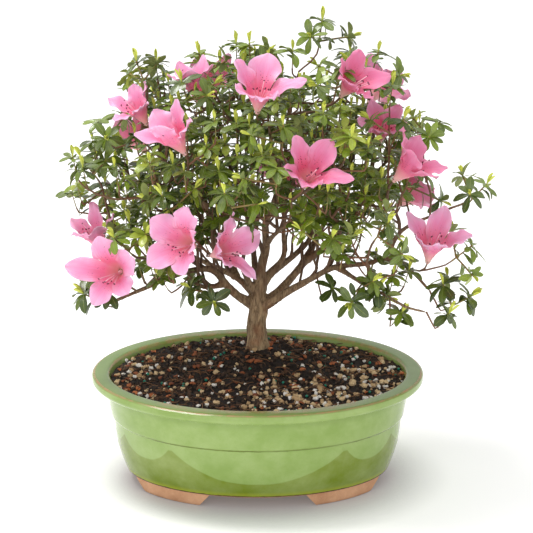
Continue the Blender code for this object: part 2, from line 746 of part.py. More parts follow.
def search_tree_of(obj):
    return search_tree([vertex.co / MM for vertex in obj.data.vertices],
                       [tuple(polygon.vertices) for polygon in obj.data.polygons])


def petal_point(share, lean, length):
    """How far from the axis and how high a petal's midline is at a share of its length past the throat."""
    reach = 0.0
    height = 0.0
    steps = 12
    for index in range(steps):
        angle = math.radians(lean[0] + (lean[1] - lean[0]) * (index + 0.5) / steps * share)
        reach += math.sin(angle) * share * length / steps
        height += math.cos(angle) * share * length / steps
    return THROAT_RADIUS + reach, THROAT_HEIGHT + height


def corolla(bloom):
    """A funnel of five lobes round +Z, as one thin closed blade."""
    _, _, _, openness, scale, lobes_open = bloom
    middle = [Vector((0, 0, 0))]
    sector = 2 * math.pi / PETALS

    def ring_point(radius, turn, height):
        return Vector((radius * math.cos(turn), radius * math.sin(turn), height))

    for petal in range(PETALS):
        turn = sector * petal
        middle.append(ring_point(TUBE_RADIUS, turn - sector / 2, TUBE_LENGTH))
        middle.append(ring_point(THROAT_RADIUS, turn - sector / 2, THROAT_HEIGHT))
        middle.append(ring_point(THROAT_RADIUS * 0.96, turn, THROAT_HEIGHT))
        radius, height = petal_point(PETAL_NOTCH, PETAL_LEAN, PETAL_LENGTH)
        middle.append(ring_point(radius * 0.95, turn - sector / 2, height))
    per_petal = 4
    triangles = []
    lobes = []
    for petal, (length, width, opened) in enumerate(lobes_open):
        turn = Quaternion((0, 0, 1), sector * petal)
        lean = [angle * openness * opened for angle in PETAL_LEAN]
        lobes.append(len(middle))
        for share, across, lift in PETAL_OUTLINE:
            radius, height = petal_point(share, lean, PETAL_LENGTH * length)
            radius -= lift * 0.6
            room = radius * math.tan(sector / 2) * PETAL_ROOM
            side = max(-room, min(room, across * width * PETAL_HALF_WIDTH))
            middle.append(turn @ Vector((radius, side, height + lift)))
    for petal in range(PETALS):
        tube_a, throat_a, throat_mid, notch_a = (1 + petal * per_petal + index for index in range(4))
        after = (petal + 1) % PETALS
        tube_b = 1 + after * per_petal
        throat_b = tube_b + 1
        notch_b = tube_b + 3
        heart, low_side, low_shoulder, point, high_shoulder, high_side = range(lobes[petal], lobes[petal] + 6)
        triangles += [
            (0, tube_a, tube_b),
            (tube_a, throat_a, throat_mid), (tube_a, throat_mid, tube_b), (throat_mid, throat_b, tube_b),
            (throat_a, notch_a, heart), (throat_a, heart, throat_mid),
            (throat_mid, heart, throat_b), (heart, notch_b, throat_b),
            (notch_a, low_side, heart), (low_side, low_shoulder, heart), (low_shoulder, point, heart),
            (point, high_shoulder, heart), (high_shoulder, high_side, heart), (high_side, notch_b, heart),
        ]
    half = PETAL_THICKNESS / 2
    thickened = {0: half}
    for petal in range(PETALS):
        for index in range(3):
            thickened[1 + petal * per_petal + index] = half
        thickened[lobes[petal]] = half
    triangles = [tuple(reversed(triangle)) for triangle in triangles]
    points, faces = lens(middle, thickened, triangles)
    return [point * scale for point in points], faces


def bloom_frame(bloom):
    """Stands the bloom's own +Z along the way it faces, turned about it."""
    base, _, roll, _, _, _ = bloom
    facing = bloom_axis(bloom).to_track_quat("Z", "Y")
    return (Matrix.Translation(Vector(base)) @ facing.to_matrix().to_4x4()
            @ Matrix.Rotation(math.radians(roll), 4, "Z"))


def make_blooms():
    made = []
    for number, bloom in enumerate(BLOOMS):
        points, faces = corolla(bloom)
        lowest = min(point.z for point in points)
        points = [point - Vector((0, 0, lowest)) for point in points]
        points = moved(points, bloom_frame(bloom))
        made.append(solid(f"bloom_{number + 1:02d}", points, faces, "petal_pink", smooth_angle=60))
    return made


def shoot_axes(number):
    """A spray's base, the way its shoot points, and the way its first corner looks."""
    centre = SPRAY_CENTRES[number]
    aim = outward(centre)
    side = Quaternion(aim, number * GOLDEN_TURN) @ aim.orthogonal().normalized()
    return Vector(centre) - aim * SHOOT_LENGTH, aim, side


def shades_bloom(point):
    """True for a place inside a bloom's lobes or close in front of its face."""
    for base, facing, _, _, scale, _ in BLOOMS:
        axis = Vector(facing).normalized()
        offset = (point - Vector(base)) / scale
        height = offset.dot(axis)
        room = bloom_reach(min(max(height, 0.0), LOBE_ROOM[1])) + BLOOM_MARGIN
        if -BLOOM_MARGIN < height < BLOOM_FRONT and (offset - axis * height).length < room:
            return True
    return False


def in_crown(point):
    """True well within the box of the main whorls, so that side shoots don't widen the crown."""
    for place, values in zip(point, zip(*SPRAY_CENTRES)):
        if not min(values) + CROWN_MARGIN <= place <= max(values) - CROWN_MARGIN:
            return False
    return True


def fork_sprays():
    """Each spray's side shoots, as the face they leave and the way they point, in the roomiest places."""
    taken = [Vector(centre) for centre in SPRAY_CENTRES]
    sprays = []
    for number in range(len(SPRAY_CENTRES)):
        base, aim, side = shoot_axes(number)
        options = []
        for face in range(SHOOT_SIDES):
            away = Quaternion(aim, 2 * math.pi * (face + 0.5) / SHOOT_SIDES) @ side
            for pitch in FORK_PITCHES:
                direction = away * math.cos(pitch) + aim * math.sin(pitch)
                end = base + aim * FORK_PLACE + direction * FORK_LENGTH
                if in_crown(end) and not shades_bloom(end):
                    options.append((face, direction, end))
        chosen = []
        while options and len(chosen) < FORKS:
            best = max(options, key=lambda option: min((option[2] - other).length for other in taken))
            if min((best[2] - other).length for other in taken) < FORK_SPACING:
                break
            chosen.append(best[:2])
            taken.append(best[2])
            options = [option for option in options if option[0] != best[0]]
        sprays.append(chosen)
    return sprays


class Shoot:
    """A closed body that grows ring by ring, where a leaf or a side shoot may take the place of a wall."""

    def __init__(self, centre, aim, side, sides, radius):
        self.points = []
        for corner in range(sides):
            turned = Quaternion(aim, 2 * math.pi * corner / sides) @ side
            self.points.append(centre + turned * radius)
        self.first = list(range(sides))
        self.faces = [tuple(reversed(self.first))]

    def ring(self, before, centre, direction, radius):
        """The numbers of the next ring's points, each carried on from the ring before."""
        middle = sum((self.points[number] for number in before), Vector()) / len(before)
        numbers = []
        for number in before:
            offset = self.points[number] - middle
            offset -= direction * offset.dot(direction)
            numbers.append(len(self.points))
            self.points.append(centre + offset.normalized() * radius)
        return numbers

    def grow(self, before, start, direction, length, radius, spear):
        """Grows from a ring to a whorl's two rings and a spear, and gives the whorl's open walls."""
        low = self.ring(before, start + direction * (length - HUB_HEIGHT), direction, radius)
        high = self.ring(low, start + direction * length, direction, radius)
        self.faces += walls(before, low)
        tip = len(self.points)
        self.points.append(start + direction * (length + spear))
        self.faces += [(first, second, tip) for first, second in zip(high, high[1:] + high[:1])]
        return walls(low, high)

    def leaf(self, wall, blade):
        """Puts a leaf in a wall's place."""
        self.faces += leaf_faces(wall, len(self.points))
        self.points += blade


def leaf_faces(wall, first):
    """A leaf's faces, from its wall's corners and the number of its blade's first point."""
    low_a, low_b, high_b, high_a = wall
    near_a, far_a, tip, far_b, near_b, ridge = range(first, first + 6)
    return [
        (high_a, ridge, high_b), (high_a, near_a, ridge), (near_a, far_a, ridge), (far_a, tip, ridge),
        (ridge, tip, far_b), (ridge, far_b, near_b), (ridge, near_b, high_b),
        (high_a, low_a, near_a), (low_b, high_b, near_b),
        (low_a, low_b, near_b), (low_a, near_b, near_a), (near_a, near_b, far_b), (near_a, far_b, far_a),
        (far_a, far_b, tip),
    ]


def walls(low, high):
    """The four-cornered faces between two rings of point numbers."""
    return list(zip(low, low[1:] + low[:1], high[1:] + high[:1], high))


def leaf_blade(size, droop):
    """A leaf along +X: its rim from one side round the tip to the other, and the ridge along its middle."""
    length = LEAF_LENGTH * size
    half_width = LEAF_HALF_WIDTH * size

    def at(along, across, lift=0.0):
        return Vector((along * length, across * half_width, lift - droop * length * along ** 2))

    (near, near_width), (far, far_width) = LEAF_OUTLINE
    return [
        at(near, -near_width), at(far, -far_width), at(1.0, 0.0), at(far, far_width), at(near, near_width),
        at(LEAF_RIDGE, 0.0, LEAF_THICKNESS),
    ]


def add_leaf(shoot, wall, aim, sizes, obstacles, rng):
    """Grows a leaf from a wall in the first direction that is clear, and gives its search tree."""
    corners = [shoot.points[number] for number in wall]
    middle = sum(corners, Vector()) / len(corners)
    away = (corners[1] - corners[0]).cross(aim).normalized()
    pitch = rng.uniform(*LEAF_PITCH)
    size = rng.uniform(*sizes)
    droop = rng.uniform(*LEAF_DROOP)
    for turn, rise in LEAF_SHIFTS:
        tilt = math.radians(pitch + rise)
        along = Quaternion(aim, math.radians(turn)) @ away * math.cos(tilt) + aim * math.sin(tilt)
        matrix = frame(middle, along, aim.lerp(Vector((0, 0, 1)), LEAF_TO_LIGHT))
        root = [corner + along * LEAF_ROOT for corner in corners]
        wide = moved(leaf_blade(size * LEAF_ROOM, droop), matrix)
        probe = search_tree(root + wide, leaf_faces(range(4), 4))
        if not any(probe.overlap(obstacle) for obstacle in obstacles):
            shoot.leaf(wall, moved(leaf_blade(size, droop), matrix))
            return probe
    shoot.faces.append(wall)
    return None


def rod(start, direction, length, radius):
    """A search tree of a plain rod, to keep room for a shoot before it is made."""
    end = start + direction * length
    return search_tree(*tube_shape([start, start.lerp(end, 0.5), end], [radius] * 3, 4))


def make_spray(number, forks, obstacles, rng):
    """One spray: its main shoot, its side shoots where they are clear, and the leaves of all its whorls."""
    base, aim, side = shoot_axes(number)
    shoot = Shoot(base, aim, side, SHOOT_SIDES, TWIG_RADIUS)
    low = shoot.ring(shoot.first, base + aim * (FORK_PLACE - HUB_HEIGHT / 2), aim, SHOOT_RADIUS)
    high = shoot.ring(low, base + aim * (FORK_PLACE + HUB_HEIGHT / 2), aim, SHOOT_RADIUS)
    shoot.faces += walls(shoot.first, low)
    hub = walls(low, high)
    top = shoot.grow(high, base, aim, SHOOT_LENGTH, SHOOT_RADIUS, SPEAR_LENGTH)
    whorls = [(aim, MAIN_LEAF_SIZES, top)]
    own = [rod(base, aim, SHOOT_LENGTH + SPEAR_LENGTH, SHOOT_RADIUS)]
    for face, direction in forks:
        wall = hub[face]
        start = base + aim * FORK_PLACE
        clear = start + direction * SHOOT_RADIUS * 2
        length = FORK_LENGTH + FORK_SPEAR - SHOOT_RADIUS * 2
        probe = rod(clear, direction, length, FORK_RADIUS * ROD_ROOM)
        if any(probe.overlap(obstacle) for obstacle in obstacles):
            continue
        hub[face] = None
        top = shoot.grow(list(wall), start, direction, FORK_LENGTH, FORK_RADIUS, FORK_SPEAR)
        whorls.append((direction, FORK_LEAF_SIZES, top))
        own.append(rod(clear, direction, length, FORK_RADIUS))
    shoot.faces += [wall for wall in hub if wall]
    for direction, sizes, open_walls in whorls:
        for wall in open_walls:
            probe = add_leaf(shoot, wall, direction, sizes, obstacles + own, rng)
            if probe:
                own.append(probe)
    return solid(f"spray_{number + 1:02d}", shoot.points, shoot.faces, "leaf_green", smooth_angle=40)


def make_sprays(tree, blooms):
    rng = random.Random(SEED + 1)
    obstacles = [search_tree_of(obj) for obj in [tree, *blooms]]
    rods = []
    for number in range(len(SPRAY_CENTRES)):
        base, aim, _ = shoot_axes(number)
        rods.append(rod(base, aim, SHOOT_LENGTH + SPEAR_LENGTH, SHOOT_RADIUS * ROD_ROOM))
    for number, forks in enumerate(fork_sprays()):
        others = rods[:number] + rods[number + 1:]
        spray = make_spray(number, forks, obstacles + others, rng)
        obstacles.append(search_tree_of(spray))


# Assembly

def centre_on_origin():
    """Moves every solid so that the plant's box stands on z = 0, centred over the origin."""
    solids = [obj for obj in bpy.context.scene.objects if obj.type == "MESH"]
    corners = [vertex.co for obj in solids for vertex in obj.data.vertices]
    low = Vector([min(corner[axis] for corner in corners) for axis in range(3)])
    high = Vector([max(corner[axis] for corner in corners) for axis in range(3)])
    shift = Matrix.Translation((-(low.x + high.x) / 2, -(low.y + high.y) / 2, -low.z))
    for obj in solids:
        obj.data.transform(shift)


def main():
    for obj in list(bpy.data.objects):
        bpy.data.objects.remove(obj)
    make_pot()
    make_screen("drain_screen_left", -DRAIN_X)
    make_screen("drain_screen_right", DRAIN_X)
    make_soil()
    paths, twigs = grow()
    tree = make_tree(paths, twigs)
    blooms = make_blooms()
    make_sprays(tree, blooms)
    centre_on_origin()


main()
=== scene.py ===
"""Satsuki azalea bonsai: a flowering tree in a glazed oval pot, finished for close viewing.

Pieces are modelled in millimetres with the pot's centre over the origin and the ground at z = 0, and settle()
then lays each finished mesh in its place in the frame, in metres.
"""
import json
import math
import random

import bmesh
import bpy
import numpy as np
from mathutils import Matrix, Quaternion, Vector, noise

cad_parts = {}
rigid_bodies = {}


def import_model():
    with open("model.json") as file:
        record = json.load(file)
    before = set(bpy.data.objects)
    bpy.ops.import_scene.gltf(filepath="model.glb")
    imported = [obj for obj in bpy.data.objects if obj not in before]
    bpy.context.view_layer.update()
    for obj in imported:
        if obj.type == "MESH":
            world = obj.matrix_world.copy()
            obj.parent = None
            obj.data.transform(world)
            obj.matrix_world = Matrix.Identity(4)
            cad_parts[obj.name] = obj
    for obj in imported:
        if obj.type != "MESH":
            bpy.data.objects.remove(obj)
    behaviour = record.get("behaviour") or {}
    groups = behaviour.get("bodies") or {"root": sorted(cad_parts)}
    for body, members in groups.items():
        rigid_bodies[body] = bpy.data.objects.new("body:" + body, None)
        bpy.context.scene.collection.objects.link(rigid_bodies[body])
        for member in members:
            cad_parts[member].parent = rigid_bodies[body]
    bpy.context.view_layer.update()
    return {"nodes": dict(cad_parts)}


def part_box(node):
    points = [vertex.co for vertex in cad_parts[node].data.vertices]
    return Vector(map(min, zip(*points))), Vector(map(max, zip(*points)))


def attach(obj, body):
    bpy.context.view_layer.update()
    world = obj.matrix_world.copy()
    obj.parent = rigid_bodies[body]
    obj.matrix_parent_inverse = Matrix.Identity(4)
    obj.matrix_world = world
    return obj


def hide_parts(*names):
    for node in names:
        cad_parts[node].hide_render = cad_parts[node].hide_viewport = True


bl_info = {
    "name": "Satsuki Azalea Bonsai",
    "version": (1, 0, 0),
    "blender": (4, 5, 0),
    "location": "3D View > Sidebar > Bonsai",
    "description": "Builds a flowering azalea bonsai in a glazed oval pot, piece by piece",
    "category": "Add Mesh",
}

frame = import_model()

MM = 0.001
POT_LOW, POT_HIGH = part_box("pot")
POT_CENTRE = Vector(((POT_LOW.x + POT_HIGH.x) / 2, (POT_LOW.y + POT_HIGH.y) / 2, POT_LOW.z))
HALF_LENGTH = (POT_HIGH.x - POT_LOW.x) / 2 / MM
HALF_WIDTH = (POT_HIGH.y - POT_LOW.y) / 2 / MM
POT_HEIGHT = (POT_HIGH.z - POT_LOW.z) / MM
BLOOM_NODES = sorted(name for name in frame["nodes"] if name.startswith("bloom_"))
SPRAY_NODES = sorted(name for name in frame["nodes"] if name.startswith("spray_"))
SEED = 11


def srgb(red, green, blue):
    """A linear colour from the 0 to 255 values that a colour picker shows."""
    linear = []
    for value in (red, green, blue):
        share = value / 255
        linear.append(share / 12.92 if share <= 0.04045 else ((share + 0.055) / 1.055) ** 2.4)
    return tuple(linear)


def colour_setting(name, description, default):
    return bpy.props.FloatVectorProperty(
        name=name, description=description, subtype="COLOR", size=3, min=0.0, max=1.0, default=srgb(*default))


def length_setting(name, description, default):
    return bpy.props.FloatProperty(
        name=name, description=description, default=default * MM, min=0.0, unit="LENGTH", precision=4)


def count_setting(name, description, default):
    return bpy.props.IntProperty(name=name, description=description, default=default, min=0)


# Settings

class PotSettings(bpy.types.PropertyGroup):
    sides: count_setting("Sides", "Faces round the oval", 128)
    painted_reflection: colour_setting("Painted reflection", "Pale sheen of reflected light, painted on the upper wall as a glaze coat", (134, 160, 80))
    glaze_deep: colour_setting("Deep glaze", "Olive glaze below the scalloped line", (108, 127, 6))
    glaze_edge: colour_setting("Glaze edge", "Thin run of glaze where it ends above the foot", (156, 166, 30))
    clay: colour_setting("Clay", "Unglazed fired clay of the feet", (222, 172, 134))
    worn: colour_setting("Worn edge", "Clay that shows where glaze thins on an edge", (176, 140, 96))


class SoilSettings(bpy.types.PropertyGroup):
    crumbs: count_setting("Peat crumbs", "Dark crumbs of peat on the surface", 2600)
    fibres: count_setting("Fibres", "Short strands of coir and root", 420)
    pumice: count_setting("Pumice", "Tan pumice grains", 390)
    perlite: count_setting("Perlite", "White perlite grains", 150)
    chips: count_setting("Bark chips", "Orange-brown flakes of bark", 150)
    beads: count_setting("Fertiliser beads", "Teal slow-release beads", 54)
    peat: colour_setting("Peat", "Moist peat", (42, 30, 24))
    grit: colour_setting("Pumice tan", "Sunlit side of a pumice grain", (242, 216, 170))
    bead: colour_setting("Bead", "Coating of the fertiliser beads", (24, 150, 120))


class WoodSettings(bpy.types.PropertyGroup):
    voxel: length_setting("Grain of the wood mesh", "Size of a face on the trunk and limbs", 1.15)
    twig_radius: length_setting("Twig radius", "Radius of the youngest twig", 0.72)
    bark_dark: colour_setting("Dark bark", "Bark in its furrows", (98, 76, 55))
    bark_light: colour_setting("Light bark", "Bark on its ridges", (204, 172, 130))
    bark_warm: colour_setting("Peeling bark", "Reddish bark where it peels", (150, 98, 66))
    twig_tone: colour_setting("Twig", "Bark of a young twig", (120, 88, 62))


class LeafSettings(bpy.types.PropertyGroup):
    length: length_setting("Leaf length", "Length of a full leaf", 18.5)
    half_width: length_setting("Half width", "Half of a full leaf's width", 3.9)
    thickness: length_setting("Thickness", "Thickness of a leaf", 0.4)
    whorls: count_setting("Whorls", "Whorls of leaves on the whole tree", 460)
    deep: colour_setting("Mature green", "Upper side of a mature leaf", (62, 82, 24))
    mid: colour_setting("Mid green", "Upper side of a younger leaf", (132, 156, 36))
    young: colour_setting("New green", "New growth", (222, 228, 92))
    under: colour_setting("Underside", "Lower side of a leaf", (146, 156, 92))


class BloomSettings(bpy.types.PropertyGroup):
    petal_length: length_setting("Petal length", "Length of a petal past the throat", 30.0)
    petal_half_width: length_setting("Petal half width", "Half of a petal's greatest width", 11.4)
    thickness: length_setting("Petal thickness", "Thickness of a petal", 0.45)
    margin: colour_setting("Petal margin", "Pale edge of a petal", (250, 200, 228))
    body: colour_setting("Petal body", "Main pink", (242, 150, 194))
    throat: colour_setting("Throat", "Coral pink of the throat", (240, 108, 138))
    speckle: colour_setting("Speckles", "Spots in the throat and the anthers", (120, 24, 60))


class StageSettings(bpy.types.PropertyGroup):
    distance: length_setting("Camera distance", "From the camera to the middle of the pot's rim", 1900.0)
    elevation: bpy.props.FloatProperty(
        name="Elevation", description="How far above level the camera stands", default=math.radians(20.0),
        subtype="ANGLE")
    floor: colour_setting("Floor", "Pale studio floor", (250, 250, 250))


# General helpers

def add(primitive, name, **where):
    """A new primitive that is the only thing selected, so that an operator acts on it alone."""
    bpy.ops.object.select_all(action="DESELECT")
    primitive(**where)
    obj = bpy.context.object
    obj.name = name
    return obj


def activate(obj):
    bpy.ops.object.select_all(action="DESELECT")
    obj.select_set(True)
    bpy.context.view_layer.objects.active = obj


def edit_points(obj, test):
    """Goes into edit mode with just those points selected whose place passes the test."""
    activate(obj)
    bpy.ops.object.mode_set(mode="EDIT")
    bpy.ops.mesh.select_mode(type="VERT")
    bpy.ops.mesh.select_all(action="DESELECT")
    shape = bmesh.from_edit_mesh(obj.data)
    for vertex in shape.verts:
        vertex.select_set(bool(test(vertex.co)))
    shape.select_flush(True)
    bmesh.update_edit_mesh(obj.data)


def leave_edit():
    bpy.ops.object.mode_set(mode="OBJECT")


def apply_modifier(obj, kind, **values):
    """Adds one modifier with these values and applies it."""
    activate(obj)
    modifier = obj.modifiers.new(kind.title(), kind)
    for name, value in values.items():
        setattr(modifier, name, value)
    bpy.ops.object.modifier_apply(modifier=modifier.name)


def join(objects, name):
    bpy.ops.object.select_all(action="DESELECT")
    for obj in objects:
        obj.select_set(True)
    bpy.context.view_layer.objects.active = objects[0]
    bpy.ops.object.join()
    objects[0].name = name
    return objects[0]


def smooth(obj, degrees):
    activate(obj)
    bpy.ops.object.shade_smooth_by_angle(angle=math.radians(degrees))


def settle(obj, slot, *replaced):
    """Lays a finished mesh in the frame, in metres, rides it on the plant and hides the frame's parts that it
    stands for.
    """
    obj.data.transform(Matrix.Translation(POT_CENTRE) @ Matrix.Scale(MM, 4) @ obj.matrix_world)
    obj.matrix_world = Matrix.Identity(4)
    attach(obj, "root")
    if replaced:
        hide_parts(*replaced)
    return obj


# Materials

class Finish:
    """A Principled material whose nodes are added and linked a line at a time."""

    def __init__(self, name):
        self.material = bpy.data.materials.new(name)
        self.material.use_nodes = True
        self.nodes = self.material.node_tree.nodes
        self.links = self.material.node_tree.links
        self.shader = self.nodes["Principled BSDF"]
        self.place = self.nodes.new("ShaderNodeTexCoord").outputs["Object"]

    def set(self, socket, value):
        if isinstance(value, bpy.types.NodeSocket):
            self.links.new(value, socket)
        elif hasattr(socket.default_value, "__len__") and len(socket.default_value) == 4:
            socket.default_value = (*value[:3], 1.0)
        else:
            socket.default_value = value

    def surface(self, **values):
        """Sets the shader's own sockets, whose names have capitals and spaces."""
        for name, value in values.items():
            self.set(self.shader.inputs[name.replace("_", " ").title().replace("Ior", "IOR")], value)
        return self.material

    def node(self, kind, inputs=None, **settings):
        made = self.nodes.new("ShaderNode" + kind)
        for name, value in settings.items():
            setattr(made, name, value)
        for socket, value in (inputs or {}).items():
            self.set(made.inputs[socket], value)
        return made

    def mapped(self, source=None, scale=(1, 1, 1), shift=(0, 0, 0), turn=(0, 0, 0)):
        made = self.node("Mapping", {"Vector": source or self.place})
        made.inputs["Location"].default_value = shift
        made.inputs["Rotation"].default_value = turn
        made.inputs["Scale"].default_value = scale
        return made.outputs["Vector"]

    def noise(self, scale, detail=3.0, vector=None, roughness=0.55, distortion=0.0):
        made = self.node("TexNoise", {
            "Vector": vector or self.place, "Scale": scale, "Detail": detail, "Roughness": roughness,
            "Distortion": distortion})
        return made.outputs["Fac"]

    def cells(self, scale, vector=None, feature="F1"):
        made = self.node("TexVoronoi", {"Vector": vector or self.place, "Scale": scale}, feature=feature)
        return made.outputs["Distance"]

    def ramp(self, value, low, high, start=0.0, end=1.0, kind="LINEAR"):
        made = self.node("MapRange", {
            "Value": value, "From Min": low, "From Max": high, "To Min": start, "To Max": end},
            interpolation_type=kind)
        return made.outputs["Result"]

    def math(self, operation, first, second=0.0, third=0.0):
        return self.node("Math", {0: first, 1: second, 2: third}, operation=operation).outputs[0]

    def mix(self, share, first, second, blend="MIX"):
        made = self.node("Mix", {0: share, 6: first, 7: second}, data_type="RGBA", blend_type=blend)
        return made.outputs[2]

    def attribute(self, name):
        return self.node("Attribute", attribute_name=name).outputs["Fac"]

    def leaf_place(self):
        """Across and along a leaf or petal, each from 0 to 1, from its own UV map."""
        return self.split(self.node("UVMap", uv_map="UVMap").outputs["UV"])

    def strands(self, across, along, count, tone, detail, **values):
        """Streaks that run along a petal, so many across it."""
        place = self.node("CombineXYZ", {0: self.math("MULTIPLY", across, count), 1: along, 2: tone})
        return self.noise(1.0, detail, place.outputs[0], **values)

    def bump(self, height, strength, distance, normal=None):
        made = self.node("Bump", {"Height": height, "Strength": strength, "Distance": distance})
        if normal is not None:
            self.set(made.inputs["Normal"], normal)
        return made.outputs["Normal"]

    def split(self, vector):
        return self.node("SeparateXYZ", {0: vector}).outputs


# Each scallop of the painted reflection, a pale coat that stands in for reflected light on the upper wall, in
# a quarter
# of the pot: the middle's angle from the pot's end, half of the scallop's angle, and the heights of its
# lowest place and of its corners.
SCALLOPS = ((90.0, 38.0, 27.5, 58.0), (37.0, 15.0, 41.0, 58.0), (0.0, 22.0, 40.0, 56.0))
GLAZE_FOOT = 12.8
STEP_HEIGHT = 63.6
LIP_BOTTOM = 95.0


def glaze_finish(settings):
    """Olive celadon glaze under a pale coat of painted reflection that ends below the step in scallops round
    the pot.
    """
    look = Finish("celadon glaze")
    oval = (1 / (HALF_LENGTH * MM), 1 / (HALF_WIDTH * MM), 0.0)
    shift = (-POT_CENTRE.x * oval[0], -POT_CENTRE.y * oval[1], 0.0)
    round_pot = look.node("VectorMath", {0: look.mapped(scale=oval, shift=shift)}, operation="NORMALIZE")
    across, along, _ = look.split(round_pot.outputs["Vector"])
    height = look.split(look.place)[2]

    angle = look.math("ARCTAN2", look.math("ABSOLUTE", along), look.math("ABSOLUTE", across))
    line = 90 * MM
    for middle, width, low, high in SCALLOPS:
        share = look.math("DIVIDE", look.math("ABSOLUTE", look.math("SUBTRACT", angle, math.radians(middle))),
                          math.radians(width))
        lift = look.math("POWER", look.math("MINIMUM", share, 1.0), 2.4)
        line = look.math("MINIMUM", line, look.ramp(lift, 0.0, 1.0, low * MM, high * MM))
    wobble = look.ramp(look.noise(26.0, 2.0), 0.0, 1.0, -1.6 * MM, 1.6 * MM)
    above = look.math("SUBTRACT", look.math("SUBTRACT", height, line), wobble)
    # Painted reflection: the pale coat above the scalloped line stands in for the pale sheen of reflected
    # light on the upper wall.
    pale = look.ramp(above, -0.5 * MM, 0.7 * MM)
    mottle = look.noise(34.0, 5.0, roughness=0.6)
    fine = look.noise(420.0, 3.0, roughness=0.7)
    colour = look.mix(pale, settings.glaze_deep, settings.painted_reflection)
    lighter = look.mix(0.24, colour, srgb(214, 228, 170))
    colour = look.mix(look.ramp(mottle, 0.35, 0.75), colour, lighter)
    colour = look.mix(look.ramp(fine, 0.52, 0.78, 0.0, 0.22), colour, srgb(120, 150, 60))
    # Painted shade: the wall just under the lip's overhang is darkened towards olive.
    lip_shade = look.ramp(height, (LIP_BOTTOM - 11.0) * MM, (LIP_BOTTOM - 1.5) * MM, 0.0, 0.45)
    below = look.ramp(height, (LIP_BOTTOM + 0.6) * MM, LIP_BOTTOM * MM)
    colour = look.mix(look.math("MULTIPLY", lip_shade, below), colour, srgb(108, 134, 52))
    # Painted shade: the rim's flat top is darkened to damp the bright reflection it catches.
    rim_top_shade = look.ramp(height, (POT_HEIGHT - 1.6) * MM, (POT_HEIGHT - 0.4) * MM, 0.0, 0.65)
    colour = look.mix(rim_top_shade, colour, srgb(116, 142, 76))
    pooled = look.ramp(height, (GLAZE_FOOT + 5.5) * MM, (GLAZE_FOOT + 1.5) * MM)
    colour = look.mix(look.math("MULTIPLY", pooled, 0.75), colour, settings.glaze_edge)
    ragged = look.math("ADD", height, look.ramp(look.noise(160.0, 4.0), 0.3, 0.7, -0.4 * MM, 0.4 * MM))
    burnt = look.ramp(ragged, (GLAZE_FOOT + 1.3) * MM, (GLAZE_FOOT + 0.5) * MM)
    colour = look.mix(burnt, colour, srgb(78, 56, 34))
    worn = look.math("MULTIPLY", look.attribute("worn"), look.ramp(look.noise(150.0, 5.0), 0.3, 0.62))
    colour = look.mix(worn, colour, settings.worn)
    from_step = look.math("ABSOLUTE", look.math("SUBTRACT", ragged, STEP_HEIGHT * MM))
    groove = look.math("MULTIPLY", look.ramp(from_step, 1.3 * MM, 0.5 * MM),
                       look.ramp(look.noise(40.0, 3.0), 0.3, 0.6, 0.45, 0.9))
    colour = look.mix(groove, colour, srgb(96, 108, 40))
    rough = look.ramp(look.noise(90.0, 4.0), 0.3, 0.7, 0.10, 0.2)
    rough = look.math("ADD", rough, look.math("MULTIPLY", worn, 0.25))
    waves = look.noise(16.0, 2.0)
    normal = look.bump(waves, 0.25, 1.2 * MM)
    normal = look.bump(fine, 0.06, 0.15 * MM, normal)
    return look.surface(base_color=colour, roughness=rough, normal=normal, specular_ior_level=0.3,
                        coat_weight=0.25, coat_roughness=0.08)


def clay_finish(settings):
    look = Finish("bare clay")
    grain = look.noise(700.0, 4.0, roughness=0.7)
    blotch = look.noise(55.0, 3.0)
    colour = look.mix(look.ramp(blotch, 0.3, 0.7), settings.clay, srgb(190, 138, 102))
    colour = look.mix(look.ramp(grain, 0.56, 0.72, 0.0, 0.5), colour, srgb(236, 204, 172))
    low = look.ramp(look.split(look.place)[2], 2.5 * MM, 0.0, 0.0, 0.35)
    colour = look.mix(low, colour, srgb(150, 108, 82))
    pits = look.ramp(look.cells(900.0), 0.0, 0.35)
    normal = look.bump(look.math("ADD", grain, pits), 0.35, 0.25 * MM)
    return look.surface(base_color=colour, roughness=look.ramp(grain, 0.3, 0.7, 0.78, 0.95), normal=normal)


def grain_finish(name, light, dark, scale, roughness, tint_share=0.5):
    """Crushed mineral or plant grains: each has its own tone, with pores and dust."""
    look = Finish(name)
    tone = look.attribute("tone")
    pores = look.noise(scale, 4.0, roughness=0.7)
    colour = look.mix(look.math("MULTIPLY", tone, tint_share), light, dark)
    colour = look.mix(look.ramp(pores, 0.42, 0.62, 0.0, 0.75), colour, dark)
    normal = look.bump(pores, 0.5, 0.4 * MM)
    return look.surface(base_color=colour, roughness=look.ramp(pores, 0.2, 0.8, roughness - 0.1, roughness),
                        normal=normal)


def peat_finish(settings):
    look = Finish("moist peat")
    coarse = look.noise(260.0, 5.0, roughness=0.7)
    fine = look.noise(1200.0, 3.0, roughness=0.7)
    colour = look.mix(look.ramp(coarse, 0.3, 0.7), srgb(24, 17, 14), settings.peat)
    colour = look.mix(look.ramp(fine, 0.6, 0.75, 0.0, 0.5), colour, srgb(96, 70, 52))
    normal = look.bump(look.math("ADD", coarse, fine), 0.8, 0.8 * MM)
    return look.surface(base_color=colour, roughness=look.ramp(fine, 0.3, 0.7, 0.7, 0.95), normal=normal)


DARKER_LIMBS = (130 * MM, 190 * MM)
MOSSY_TRUNK = (150 * MM, 104 * MM)


